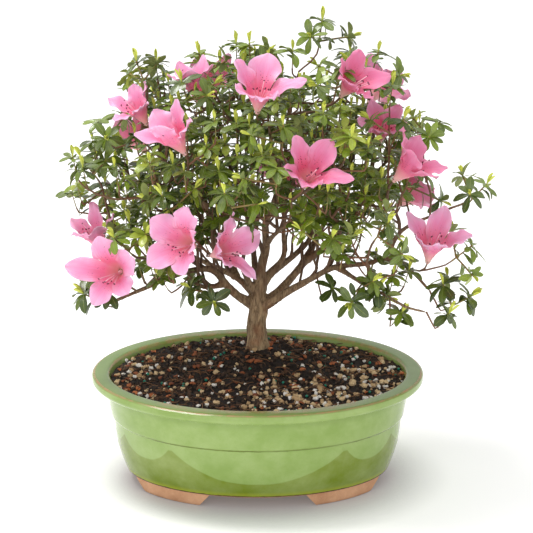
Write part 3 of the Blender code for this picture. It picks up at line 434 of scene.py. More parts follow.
def bark_finish(settings):
    """Furrowed bark, dark in its cracks, with grey-tan ridges and patches that peel reddish brown."""
    look = Finish("azalea bark")
    stretched = look.mapped(scale=(1.0, 1.0, 0.22))
    furrow = look.noise(420.0, 5.0, stretched, roughness=0.65, distortion=0.6)
    plates = look.cells(240.0, stretched)
    patch = look.noise(38.0, 3.0)
    flakes = look.noise(900.0, 3.0)
    colour = look.mix(look.ramp(furrow, 0.36, 0.66), settings.bark_dark, settings.bark_light)
    colour = look.mix(look.ramp(patch, 0.52, 0.66, 0.0, 0.7), colour, settings.bark_warm)
    ridge = look.ramp(flakes, 0.58, 0.72, 0.0, 0.55)
    colour = look.mix(ridge, colour, srgb(166, 142, 116))
    height = look.split(look.place)[2]
    colour = look.mix(look.ramp(height, *DARKER_LIMBS, 0.0, 0.62), colour, srgb(84, 60, 43))
    mossy = look.ramp(height, *MOSSY_TRUNK, 0.0, 0.45)
    mossy = look.math("MULTIPLY", mossy, look.ramp(look.noise(90.0, 3.0), 0.35, 0.6))
    colour = look.mix(mossy, colour, srgb(128, 120, 92))
    relief = look.math("ADD", furrow, look.math("MULTIPLY", plates, 0.8))
    normal = look.bump(relief, 0.9, 1.4 * MM)
    normal = look.bump(flakes, 0.4, 0.3 * MM, normal)
    return look.surface(base_color=colour, roughness=look.ramp(furrow, 0.3, 0.7, 0.92, 0.72), normal=normal)


def twig_finish(settings):
    """Young bark: tan at the tips and darker where a twig is thick."""
    look = Finish("twig bark")
    tone = look.attribute("tone")
    streak = look.noise(520.0, 4.0, roughness=0.6)
    patch = look.noise(60.0, 2.0)
    young = look.mix(look.ramp(patch, 0.4, 0.62), settings.twig_tone, srgb(122, 78, 54))
    colour = look.mix(tone, young, srgb(92, 68, 50))
    colour = look.mix(look.ramp(streak, 0.54, 0.7, 0.0, 0.5), colour, srgb(150, 122, 94))
    normal = look.bump(streak, 0.5, 0.4 * MM)
    return look.surface(base_color=colour, roughness=look.ramp(streak, 0.3, 0.7, 0.62, 0.85), normal=normal)


def leaf_finish(settings):
    """Glossy azalea leaf: deep green with a paler midrib, and yellow-green where tone is high."""
    look = Finish("azalea leaf")
    across, along, _ = look.leaf_place()
    tone = look.attribute("tone")
    colour = look.mix(look.ramp(tone, 0.0, 0.5), settings.deep, settings.mid)
    colour = look.mix(look.ramp(tone, 0.5, 1.0), colour, settings.young)
    mottle = look.noise(170.0, 4.0, roughness=0.6)
    dark = look.mix(0.55, colour, srgb(34, 44, 16))
    colour = look.mix(look.ramp(mottle, 0.4, 0.7, 0.0, 0.6), colour, dark)
    from_rib = look.math("ABSOLUTE", look.math("SUBTRACT", across, 0.5))
    light = look.mix(0.4, colour, srgb(176, 186, 96))
    colour = look.mix(look.ramp(from_rib, 0.06, 0.02, 0.0, 0.6), colour, light)
    slanted = look.math("SUBTRACT", along, look.math("MULTIPLY", from_rib, 0.55))
    place = look.node("CombineXYZ", {0: slanted, 1: 0.0, 2: 0.0}).outputs[0]
    veins = look.node("TexWave", {"Vector": place, "Scale": 3.2, "Distortion": 0.0},
                      wave_type="BANDS", bands_direction="X").outputs["Fac"]
    colour = look.mix(look.ramp(veins, 0.86, 1.0, 0.0, 0.25), colour, light)
    tip = look.ramp(along, 0.0, 0.12)
    colour = look.mix(look.math("SUBTRACT", 1.0, tip), colour, srgb(150, 170, 70))
    rib = look.ramp(from_rib, 0.0, 0.06)
    relief = look.math("ADD", rib, look.math("MULTIPLY", look.ramp(veins, 0.8, 1.0), -0.3))
    normal = look.bump(relief, 0.5, 0.3 * MM)
    normal = look.bump(mottle, 0.12, 0.5 * MM, normal)
    return look.surface(base_color=colour, roughness=look.ramp(mottle, 0.3, 0.7, 0.24, 0.36), normal=normal,
                        coat_weight=0.4, coat_roughness=0.14)


def underleaf_finish(settings):
    look = Finish("leaf underside")
    tone = look.attribute("tone")
    colour = look.mix(look.ramp(tone, 0.3, 1.0), settings.under, settings.young)
    hairs = look.noise(800.0, 3.0)
    colour = look.mix(look.ramp(hairs, 0.45, 0.7, 0.0, 0.35), colour, srgb(96, 126, 66))
    return look.surface(base_color=colour, roughness=look.ramp(hairs, 0.3, 0.7, 0.55, 0.7),
                        normal=look.bump(hairs, 0.2, 0.2 * MM))


def petal_finish(settings, name="azalea petal"):
    """Silky petal: coral throat with speckles, pink body with fine veins, and a pale margin."""
    look = Finish(name)
    across, along, _ = look.leaf_place()
    tone = look.attribute("tone")
    blotch = look.attribute("blotch")
    centred = look.math("ABSOLUTE", look.math("MULTIPLY", look.math("SUBTRACT", across, 0.5), 2.0))
    vein = look.strands(across, along, 26.0, tone, 3.0, roughness=0.6)
    cloud = look.noise(55.0, 3.0)
    edge = look.math("MAXIMUM", look.ramp(centred, 0.35, 1.0), look.ramp(along, 0.66, 1.0))
    edge = look.math("MULTIPLY", edge, look.ramp(cloud, 0.25, 0.7, 0.45, 1.0))
    colour = look.mix(edge, settings.body, settings.margin)
    hot = look.math("ADD", along, look.ramp(vein, 0.3, 0.7, -0.14, 0.14))
    flush = look.ramp(hot, 0.72, 0.34, 0.0, 0.8, "SMOOTHSTEP")
    flush = look.math("MULTIPLY", flush, look.ramp(blotch, 0.0, 1.0, 0.55))
    colour = look.mix(flush, colour, settings.throat)
    colour = look.mix(look.ramp(vein, 0.54, 0.74, 0.0, 0.55), colour, look.mix(0.5, colour, settings.throat))
    thread = look.strands(across, along, 70.0, tone, 2.0)
    rosy = look.mix(0.5, colour, srgb(214, 84, 140))
    colour = look.mix(look.ramp(thread, 0.56, 0.7, 0.0, 0.3), colour, rosy)
    magenta = look.mix(0.55, colour, srgb(214, 70, 132), "MULTIPLY")
    colour = look.mix(tone, colour, magenta)
    base = look.ramp(along, 0.34, 0.10)
    colour = look.mix(base, colour, srgb(248, 178, 176))
    spots = look.cells(460.0)
    from_throat = look.math("ABSOLUTE", look.math("SUBTRACT", along, 0.46))
    where = look.math("MULTIPLY", blotch, look.ramp(from_throat, 0.22, 0.08))
    where = look.math("MULTIPLY", where, look.ramp(centred, 0.75, 0.4))
    spotted = look.math("MULTIPLY", where, look.ramp(spots, 0.26, 0.16))
    colour = look.mix(spotted, colour, settings.speckle)
    relief = look.math("ADD", vein, look.math("MULTIPLY", cloud, 0.6))
    normal = look.bump(relief, 0.35, 0.5 * MM)
    return look.surface(base_color=colour, roughness=look.ramp(vein, 0.3, 0.7, 0.42, 0.56), normal=normal,
                        sheen_weight=0.12, sheen_roughness=0.4, subsurface_weight=0.3,
                        subsurface_scale=2.5 * MM, subsurface_radius=(1.0, 0.35, 0.45))


def plain_finish(name, colour, other, scale, roughness):
    """A small part's finish: two tones in a fine noise, with a matching relief."""
    look = Finish(name)
    grain = look.noise(scale, 3.0)
    mixed = look.mix(look.ramp(grain, 0.35, 0.65), colour, other)
    return look.surface(base_color=mixed, roughness=look.ramp(grain, 0.3, 0.7, roughness, roughness + 0.12),
                        normal=look.bump(grain, 0.2, 0.2 * MM))


FLOOR_GLOW = 0.25
SHADOW_REACH = 0.06


def floor_finish(settings):
    look = Finish("studio floor")
    cloud = look.noise(3.0, 2.0)
    colour = look.mix(look.ramp(cloud, 0.3, 0.7), settings.floor, srgb(253, 253, 253))
    # Painted shadow: the floor turns grey close to the pot and tree, as a soft contact shadow.
    contact_shadow = look.node("AmbientOcclusion", {"Distance": SHADOW_REACH}, samples=8).outputs["AO"]
    colour = look.mix(look.ramp(contact_shadow, 1.0, 0.45, 0.0, 0.62), colour, srgb(96, 96, 96))
    return look.surface(base_color=colour, roughness=look.ramp(cloud, 0.0, 1.0, 0.7, 0.8),
                        emission_color=colour, emission_strength=FLOOR_GLOW)


# Pot

# The pot's outline as distances in from the rim's outer edge at the pot's ends and at its long sides, and
# heights: outside from the recessed floor up to the lip, then inside down to the floor of the pot.
POT_OUTLINE = (
    (49.8, 56.8, 12.0), (49.0, 56.0, 0.0), (33.4, 39.5, 0.0), (31.8, 38.4, 12.0), (30.2, 36.6, 12.6),
    (26.2, 31.2, 24.0), (22.3, 26.6, 37.5), (20.6, 22.9, 51.0), (19.8, 20.4, 62.6), (17.2, 17.6, 65.2),
    (15.2, 15.3, 77.5), (13.4, 13.4, 88.5), (12.0, 12.0, 92.4), (8.6, 8.6, 94.2), (2.6, 2.6, 95.0),
    (0.4, 0.4, 97.6), (0.0, 0.0, 99.6), (0.7, 0.7, 102.6), (2.6, 2.6, 104.0), (14.2, 14.2, 104.0),
    (16.4, 16.4, 102.2), (19.0, 19.0, 92.0), (22.5, 22.5, 80.0), (34.0, 34.0, 38.0), (52.0, 52.0, 20.5),
)
ROUNDED_RINGS = (
    (49.0, 56.0, 0.0, 0.8), (33.4, 39.5, 0.0, 0.8), (19.8, 20.4, 62.6, 0.5), (17.2, 17.6, 65.2, 0.9),
    (12.0, 12.0, 92.4, 1.2), (2.6, 2.6, 95.0, 0.9), (2.6, 2.6, 104.0, 0.9), (14.2, 14.2, 104.0, 1.1),
    (16.4, 16.4, 102.2, 1.0),
)
CLAY_TOP = 12.3
FRONT_GAP = (109.0, 87.0)
SIDE_GAP = (84.0, 60.0)
FOOT_GAP_TOP = 11.5
DRAIN_X = 62.0
DRAIN_RADIUS = 9.0


def on_ring(end_inset, side_inset, height):
    """A test for the points of one oval ring of the pot."""
    def test(point):
        if abs(point.z - height) > 0.05:
            return False
        reach = (point.x / (HALF_LENGTH - end_inset)) ** 2 + (point.y / (HALF_WIDTH - side_inset)) ** 2
        return abs(reach - 1) < 0.004
    return test


def turn_oval(name, outline, sides):
    """Draws an oval and extrudes it ring by ring through the outline, so that the body is closed."""
    end_inset, side_inset, height = outline[0]
    body = add(bpy.ops.mesh.primitive_circle_add, name, vertices=sides, radius=1.0, fill_type="NGON",
               location=(0, 0, height))
    body.scale = (HALF_LENGTH - end_inset, HALF_WIDTH - side_inset, 1.0)
    bpy.ops.object.transform_apply(location=True, rotation=True, scale=True)
    bpy.ops.object.mode_set(mode="EDIT")
    bpy.ops.mesh.select_all(action="SELECT")
    for (end, side, low), (next_end, next_side, high) in zip(outline, outline[1:]):
        bpy.ops.mesh.extrude_region_move(TRANSFORM_OT_translate={"value": (0, 0, high - low)})
        longer = (HALF_LENGTH - next_end) / (HALF_LENGTH - end)
        wider = (HALF_WIDTH - next_side) / (HALF_WIDTH - side)
        bpy.ops.transform.resize(value=(longer, wider, 1), center_override=(0, 0, high))
    bpy.ops.mesh.select_all(action="SELECT")
    bpy.ops.mesh.normals_make_consistent(inside=False)
    leave_edit()
    return body


def foot_gap(name, widths, length, along_x):
    """A bar with sloping sides, wider at the ground, that opens the ring of the foot."""
    bar = add(bpy.ops.mesh.primitive_cube_add, name, size=1.0, location=(0, 0, FOOT_GAP_TOP / 2 - 1))
    bar.scale = (widths[1], length, FOOT_GAP_TOP + 2)
    bpy.ops.object.transform_apply(location=True, rotation=True, scale=True)
    edit_points(bar, lambda point: point.z < 0)
    bpy.ops.transform.resize(value=(widths[0] / widths[1], 1, 1), center_override=(0, 0, 0))
    leave_edit()
    if along_x:
        bar.data.transform(Matrix.Rotation(math.pi / 2, 4, "Z"))
    return bar


def make_pot(settings):
    pot = turn_oval("oval_pot", POT_OUTLINE, settings.sides)
    for end_inset, side_inset, height, width in ROUNDED_RINGS:
        edit_points(pot, on_ring(end_inset, side_inset, height))
        bpy.ops.mesh.bevel(offset=width, segments=3, affect="EDGES")
        leave_edit()
    cutters = [
        foot_gap("front_gap", FRONT_GAP, 4 * HALF_WIDTH, along_x=False),
        foot_gap("side_gap", SIDE_GAP, 4 * HALF_LENGTH, along_x=True),
    ]
    for x in (-DRAIN_X, DRAIN_X):
        cutters.append(add(bpy.ops.mesh.primitive_cylinder_add, "drain", vertices=32, radius=DRAIN_RADIUS,
                           depth=20, location=(x, 0, 13)))
    for cutter in cutters:
        apply_modifier(pot, "BOOLEAN", operation="DIFFERENCE", object=cutter, solver="EXACT")
        bpy.data.objects.remove(cutter)
    pot.data.materials.append(glaze_finish(settings))
    pot.data.materials.append(clay_finish(settings))
    for face in pot.data.polygons:
        face.material_index = 1 if face.center.z < CLAY_TOP else 0
    mark_wear(pot)
    smooth(pot, 40)
    return settle(pot, "pot_glaze", "pot")


def mark_wear(pot):
    """Marks the edges of the rim, where glaze thins and shows clay."""
    worn = pot.data.attributes.new("worn", "FLOAT", "POINT")
    for index, vertex in enumerate(pot.data.vertices):
        x, y, z = vertex.co
        reach = math.hypot(x / HALF_LENGTH, y / HALF_WIDTH)
        inset = (1 - reach) * (HALF_LENGTH + HALF_WIDTH) / 2
        outer = z > 102.9 and inset < 2.9
        inner = z > 101.4 and 13.6 < inset < 17.4
        worn.data[index].value = 1.0 if outer else 0.8 if inner else 0.0


# Drain screens: the frame's own pieces, given their finish.

def dress_screens():
    finish = plain_finish("screen plastic", srgb(42, 42, 42), srgb(58, 58, 56), 300.0, 0.55)
    for name in ("drain_screen_left", "drain_screen_right"):
        screen = frame["nodes"][name]
        for slot in screen.material_slots:
            slot.material = finish


# Soil

SOIL_EDGE = 98.0
SOIL_MOUND = 14.5
SOIL_MOUND_SPREAD = 46.0
SOIL_RELIEF = 0.9
SOIL_WALL = ((52.4, 52.4, 20.8), (34.4, 34.4, 38.0), (22.9, 22.9, 80.0), (18.0, 18.0, 97.0))
SOIL_RINGS = 44
SOIL_SIDES = 144
TRUNK_PLACE = Vector((0.0, 40.0))


def soil_height(x, y):
    """The soil's surface: level at the edge, mounded at the trunk, and a little uneven."""
    distance = math.hypot(x - TRUNK_PLACE.x, y - TRUNK_PLACE.y)
    mound = SOIL_MOUND * math.exp(-((distance / SOIL_MOUND_SPREAD) ** 2))
    uneven = math.sin(0.13 * x + 1.0) * math.cos(0.17 * y) + 0.6 * math.sin(0.31 * x + 0.23 * y)
    return SOIL_EDGE + mound + SOIL_RELIEF * uneven


def make_soil_body(settings):
    """The body of the mix: the pot's inside, closed on top by rings that carry the crumbly surface."""
    body = turn_oval("soil_body", SOIL_WALL, SOIL_SIDES)
    edit_points(body, on_ring(*SOIL_WALL[-1]))
    for ring in range(SOIL_RINGS - 1):
        before = 1 - ring / SOIL_RINGS
        after = 1 - (ring + 1) / SOIL_RINGS
        bpy.ops.mesh.extrude_region_move(TRANSFORM_OT_translate={"value": (0, 0, 0)})
        bpy.ops.transform.resize(value=(after / before, after / before, 1),
                                 center_override=(0, 0, SOIL_WALL[-1][2]))
    leave_edit()
    top = SOIL_WALL[-1][2] - 0.1
    for vertex in body.data.vertices:
        if vertex.co.z > top:
            x, y = vertex.co.x, vertex.co.y
            coarse = noise.noise(Vector((x, y, 3.0)) * 0.33) * 1.3
            fine = noise.noise(Vector((x, y, 9.0)) * 0.85) * 0.7
            vertex.co.z = soil_height(x, y) + coarse + fine
    body.data.materials.append(peat_finish(settings))
    smooth(body, 60)
    return settle(body, "soil", "soil")


class Shape:
    """A modelled shape, read once so that copies of it can be laid quickly."""

    def __init__(self, obj):
        mesh = obj.data
        self.points = np.empty(len(mesh.vertices) * 3)
        mesh.vertices.foreach_get("co", self.points)
        self.points = self.points.reshape(-1, 3)
        self.faces = [tuple(face.vertices) for face in mesh.polygons]
        self.finishes = [face.material_index for face in mesh.polygons]
        self.uvs = np.zeros(len(mesh.loops) * 2)
        if mesh.uv_layers:
            mesh.uv_layers.active.data.foreach_get("uv", self.uvs)
        bpy.data.objects.remove(obj)


def lay_copies(name, shapes, placings, finishes, degrees=60):
    """One mesh of many copies: each placing is a shape's number, a matrix and a tone for the finish."""
    points, faces, indexes, uvs, tones = [], [], [], [], []
    start = 0
    for number, matrix, tone in placings:
        shape = shapes[number]
        turn = np.array(matrix)
        points.append(shape.points @ turn[:3, :3].T + turn[:3, 3])
        faces.extend(tuple(corner + start for corner in face) for face in shape.faces)
        indexes.extend(shape.finishes)
        uvs.append(shape.uvs)
        tones.append(np.full(len(shape.faces), tone))
        start += len(shape.points)
    mesh = bpy.data.meshes.new(name)
    mesh.from_pydata(np.concatenate(points).tolist(), [], faces)
    layer = mesh.uv_layers.new(name="UVMap")
    layer.data.foreach_set("uv", np.concatenate(uvs))
    mesh.attributes.new("tone", "FLOAT", "FACE").data.foreach_set("value", np.concatenate(tones))
    for finish in finishes:
        mesh.materials.append(finish)
    mesh.polygons.foreach_set("material_index", indexes)
    obj = bpy.data.objects.new(name, mesh)
    bpy.context.scene.collection.objects.link(obj)
    smooth(obj, degrees)
    return obj


def knobbly(name, subdivisions, relief, squash, rng):
    """A crushed grain of unit size: a ball pushed in and out, then flattened."""
    ball = add(bpy.ops.mesh.primitive_ico_sphere_add, name, subdivisions=subdivisions, radius=0.5)
    seed = Vector((rng.uniform(0, 50), rng.uniform(0, 50), rng.uniform(0, 50)))
    for vertex in ball.data.vertices:
        vertex.co *= 1 + relief * noise.noise(vertex.co * 3.1 + seed)
    edit_points(ball, lambda point: True)
    bpy.ops.transform.resize(value=squash, center_override=(0, 0, 0))
    leave_edit()
    return Shape(ball)


def flake(name, rng):
    """A flat curved chip of bark of unit length."""
    chip = add(bpy.ops.mesh.primitive_grid_add, name, x_subdivisions=4, y_subdivisions=2, size=1.0)
    for vertex in chip.data.vertices:
        x, y, _ = vertex.co
        vertex.co.y = y * 0.5 * (1 - 0.5 * abs(2 * x) ** 3) + 0.06 * rng.uniform(-1, 1)
        vertex.co.z = 0.16 * (1 - 4 * x * x) + 0.05 * rng.uniform(-1, 1)
    apply_modifier(chip, "SOLIDIFY", thickness=0.14)
    return Shape(chip)


def strand(name, rng):
    """A short bent fibre of unit length."""
    rod = add(bpy.ops.mesh.primitive_cylinder_add, name, vertices=5, radius=0.03, depth=1.0,
              rotation=(0, math.pi / 2, 0))
    bpy.ops.object.transform_apply(location=True, rotation=True, scale=True)
    edit_points(rod, lambda point: True)
    bpy.ops.mesh.subdivide(number_cuts=2)
    leave_edit()
    bend = rng.uniform(-0.25, 0.25)
    for vertex in rod.data.vertices:
        vertex.co.y += bend * (1 - 4 * vertex.co.x ** 2)
        vertex.co.z += 0.08 * (1 - 4 * vertex.co.x ** 2)
    return Shape(rod)


def soil_spot(rng, edge=17.6, clear=10.5):
    """A random place on the soil, away from the trunk."""
    while True:
        x = rng.uniform(-1, 1) * (HALF_LENGTH - edge)
        y = rng.uniform(-1, 1) * (HALF_WIDTH - edge)
        inside = (x / (HALF_LENGTH - edge)) ** 2 + (y / (HALF_WIDTH - edge)) ** 2 < 0.985
        if inside and (Vector((x, y)) - TRUNK_PLACE).length > clear:
            return x, y


# Where pumice lies thickly, at the front right and at both ends: a place, its spread and how thickly.
GRIT_PATCHES = ((38, -62, 52, 36, 1.0), (108, -12, 30, 44, 0.8), (-112, -6, 22, 40, 0.5))
GRIT_ELSEWHERE = 0.16


def grit_patches(x, y):
    """How thickly pumice lies at a place."""
    share = GRIT_ELSEWHERE
    for middle_x, middle_y, spread_x, spread_y, most in GRIT_PATCHES:
        share += most * math.exp(-(((x - middle_x) / spread_x) ** 2) - (((y - middle_y) / spread_y) ** 2))
    return share


def scatter(rng, count, kinds, sizes, sink, flat=False, patches=None):
    """Random places for grains, each turned, sized and seated in the soil."""
    placings = []
    while len(placings) < count:
        x, y = soil_spot(rng)
        if patches and rng.random() > patches(x, y):
            continue
        size = rng.uniform(*sizes)
        turn = Matrix.Rotation(rng.uniform(0, 2 * math.pi), 4, "Z")
        tilt = rng.uniform(-0.35, 0.35) if flat else rng.uniform(0, math.pi)
        turn = turn @ Matrix.Rotation(tilt, 4, "X")
        place = Matrix.Translation((x, y, soil_height(x, y) + size * sink + 0.4))
        placings.append((rng.randrange(kinds), place @ turn @ Matrix.Scale(size, 4), rng.random()))
    return placings


def make_soil(settings):
    rng = random.Random(SEED)
    make_soil_body(settings)
    crumbs = [knobbly("crumb", 1, 0.9, (1.0, 0.8, 0.7), rng) for _ in range(5)]
    stones = [knobbly("stone", 2, 0.75, (1.0, 0.86, 0.74), rng) for _ in range(5)]
    chips = [flake("chip", rng) for _ in range(3)]
    strands = [strand("strand", rng) for _ in range(4)]
    bead = add(bpy.ops.mesh.primitive_uv_sphere_add, "bead", segments=10, ring_count=7, radius=0.5)
    beads = [Shape(bead)]
    peat = grain_finish("peat crumb", srgb(104, 78, 58), srgb(24, 17, 14), 1500.0, 0.95, 1.0)
    pumice = grain_finish("pumice", settings.grit, srgb(172, 138, 98), 1300.0, 0.9, 0.9)
    perlite = grain_finish("perlite", srgb(250, 248, 242), srgb(206, 198, 184), 1500.0, 0.85)
    bark = grain_finish("bark chip", srgb(212, 124, 70), srgb(104, 54, 32), 900.0, 0.85, 0.9)
    fibre = grain_finish("coir fibre", srgb(150, 108, 72), srgb(70, 46, 32), 900.0, 0.9, 0.9)
    coat = grain_finish("bead coating", settings.bead, srgb(10, 104, 86), 500.0, 0.45, 0.5)
    layers = (
        ("peat_crumbs", crumbs, scatter(rng, settings.crumbs, 5, (1.8, 5.0), 0.05), peat),
        ("coir_fibres", strands, scatter(rng, settings.fibres, 4, (6.0, 14.0), 0.16, flat=True), fibre),
        ("pumice_grains", stones, scatter(rng, settings.pumice, 5, (1.6, 6.0), 0.2, patches=grit_patches),
         pumice),
        ("perlite_grains", stones, scatter(rng, settings.perlite, 5, (2.0, 5.0), 0.26, patches=grit_patches),
         perlite),
        ("bark_chips", chips, scatter(rng, settings.chips, 3, (4.0, 8.5), 0.1, flat=True), bark),
        ("fertiliser_beads", beads, scatter(rng, settings.beads, 1, (2.3, 3.1), 0.35), coat),
    )
    for name, shapes, placings, finish in layers:
        settle(lay_copies(name, shapes, placings, [finish]), "soil")


# Skeleton of the tree. The trunk is a radius and a centre at each height. Each limb names the limb it leaves,
# its radius at its start and at its end, and the points it runs through.

STUB_BOTTOM = 80.0
TRUNK = (
    (7.5, (0, 40, STUB_BOTTOM)), (11.4, (0, 40, 103)), (11.0, (0, 40, 113)), (9.4, (0, 40, 122)),
    (8.7, (-0.5, 40, 136)), (9.0, (0.5, 40, 149)), (7.6, (1, 40, 160)), (5.6, (2, 40, 172)),
)
LIMBS = {
    "leader": ("trunk", 5.2, 1.3, (
        (2, 40, 168), (4, 38, 193), (8, 32, 212), (7, 22, 236), (12, 15, 251), (17, 5, 273), (13, -5, 312),
        (9, -5, 346))),
    "left_low": ("trunk", 4.6, 1.7, (
        (0, 40, 152), (-9, 37, 158), (-18, 34, 164), (-28, 28, 176), (-42, 20, 194), (-64, 8, 196),
        (-88, 0, 189), (-105, -5, 183), (-131, -10, 173))),
    "left_low_riser": ("left_low", 2.4, 1.2, (
        (-30, 27, 178), (-44, 17, 178), (-51, 10, 181), (-59, 0, 190), (-68, -12, 209))),
    "left_high": ("trunk", 3.8, 1.4, (
        (0, 42, 160), (-9, 46, 169), (-22, 55, 177), (-43, 75, 181), (-74, 90, 192), (-104, 88, 209))),
    "left_front": ("trunk", 3.2, 1.2, (
        (-2, 38, 164), (-8, 32, 178), (-16, 18, 201), (-32, -5, 234), (-46, -25, 268), (-62, -28, 292))),
    "left_centre": ("leader", 3.6, 1.2, (
        (1, 42, 168), (-2, 50, 184), (-5, 72, 208), (-12, 88, 233), (-24, 98, 267), (-32, 103, 304))),
    "right_back": ("leader", 3.9, 1.2, (
        (3, 42, 170), (12, 46, 182), (34, 58, 196), (49, 72, 208), (54, 82, 224), (52, 95, 249),
        (58, 100, 286))),
    "right_centre": ("right_back", 2.9, 1.1, (
        (14, 44, 178), (24, 46, 198), (24, 38, 226), (24, 34, 256), (21, 30, 274), (21, 32, 300),
        (29, 38, 338), (37, 40, 374))),
    "right_high": ("trunk", 4.8, 1.3, (
        (1, 40, 152), (10, 41, 158), (21, 45, 166), (34, 52, 179), (46, 60, 191), (60, 66, 199),
        (77, 72, 212), (96, 75, 240), (106, 70, 275), (107, 62, 314), (104, 50, 350))),
    "right_low": ("trunk", 4.4, 1.3, (
        (1, 40, 150), (11, 34, 157), (28, 26, 171), (42, 20, 181), (65, 8, 198), (77, 2, 203),
        (101, -6, 208), (114, -8, 213), (136, -6, 203), (156, -6, 182))),
    "right_low_front": ("right_low", 2.4, 1.2, (
        (72, 4, 201), (84, -12, 198), (97, -25, 193), (113, -36, 188), (132, -44, 179), (150, -47, 175))),
    "right_far": ("right_low", 2.3, 1.2, (
        (116, -8, 213), (130, 2, 236), (162, 6, 251), (190, 6, 262))),
    "back_left": ("left_high", 3.4, 1.2, (
        (-20, 54, 176), (-32, 80, 196), (-52, 106, 216), (-76, 124, 252), (-86, 122, 296), (-84, 110, 330))),
    "back_right": ("right_high", 3.2, 1.2, (
        (46, 60, 191), (56, 84, 206), (72, 106, 230), (88, 118, 266), (94, 114, 322))),
    "back_centre": ("left_centre", 2.9, 1.1, (
        (-5, 72, 208), (0, 96, 228), (-12, 116, 262), (-4, 120, 318), (-4, 116, 342))),
    "front_centre": ("leader", 2.7, 1.2, (
        (8, 30, 216), (14, 6, 230), (20, -28, 246), (28, -52, 262), (30, -66, 284))),
    "front_left": ("left_front", 2.4, 1.2, (
        (-20, 12, 210), (-30, -16, 214), (-38, -36, 222))),
    "top_left": ("leader", 2.6, 1.2, (
        (17, 5, 276), (2, 8, 304), (-22, 14, 332), (-40, 22, 362))),
    "left_upper": ("left_front", 2.5, 1.2, (
        (-45, -24, 266), (-62, -14, 286), (-88, 0, 306), (-104, 8, 320))),
}
LIMB_STEP = 30.0
KNOT_STEPS = 8
TWIG_STEP = 24.0
TWIG_STEPS = 24
TWIG_END = 4.0
TWIG_GROWTH = 0.34
TWIG_SAMPLE = 6.0
TWIG_BEND = (0.35, 0.30)
ROUTE_WEIGHT = 0.35
ROUTES_TRIED = 160
CROWN_HEART = Vector((12.0, 25.0, 215.0))
OUTWARD_SHARE = 0.75
UPWARD_SHARE = 0.6
GAP = 0.3

SHOOT_LENGTH = 25.0
SHOOT_SIDES = 6
GOLDEN_TURN = math.radians(137.5)
FORKS = 2
FORK_PLACE = 6.0
FORK_LENGTH = 28.0
FORK_PITCHES = (math.radians(14.0), math.radians(34.0))
FORK_SPACING = 19.0
CROWN_MARGIN = 3.0
BLOOM_FRONT = 58.0
BLOOM_MARGIN = 10.0
SPRAY_CENTRES = (
    (-156, -20, 184), (-61, -15, 188), (-126, -50, 245), (-160, 50, 254), (-159, 20, 300),
    (-143, 10, 336), (-108, 30, 386), (-66, -18, 378), (-52, 40, 390), (-7, 35, 401), (58, 40, 421),
    (108, 30, 394), (72, -30, 392), (128, -26, 346), (164, 20, 333), (80, -80, 343), (22, -75, 352),
    (206, 8, 278), (192, -20, 229), (192, -10, 177), (102, -50, 205), (112, -84, 268), (-28, -95, 298),
    (16, -104, 322), (-83, -58, 286), (64, -94, 258), (153, 32, 283), (-125, 92, 246), (-68, 138, 300),
    (-98, 92, 358), (-2, 130, 368), (84, 106, 372), (52, 150, 296), (136, 96, 304), (116, 106, 228),
    (-20, 152, 236),
)

class Bloom:
    """Where a bloom's tube starts and the way it faces, its turn in degrees, its openness and its scale."""

    def __init__(self, base, facing, roll, openness, scale, lobes):
        self.base = Vector(base)
        self.axis = Vector(facing).normalized()
        self.roll = roll
        self.openness = openness
        self.scale = scale
        self.lobes = lobes

    def place_of(self, point):
        """How far a point lies along the bloom's axis and how far off it, at the bloom's own scale."""
        offset = (point - self.base) / self.scale
        height = offset.dot(self.axis)
        return height, (offset - self.axis * height).length


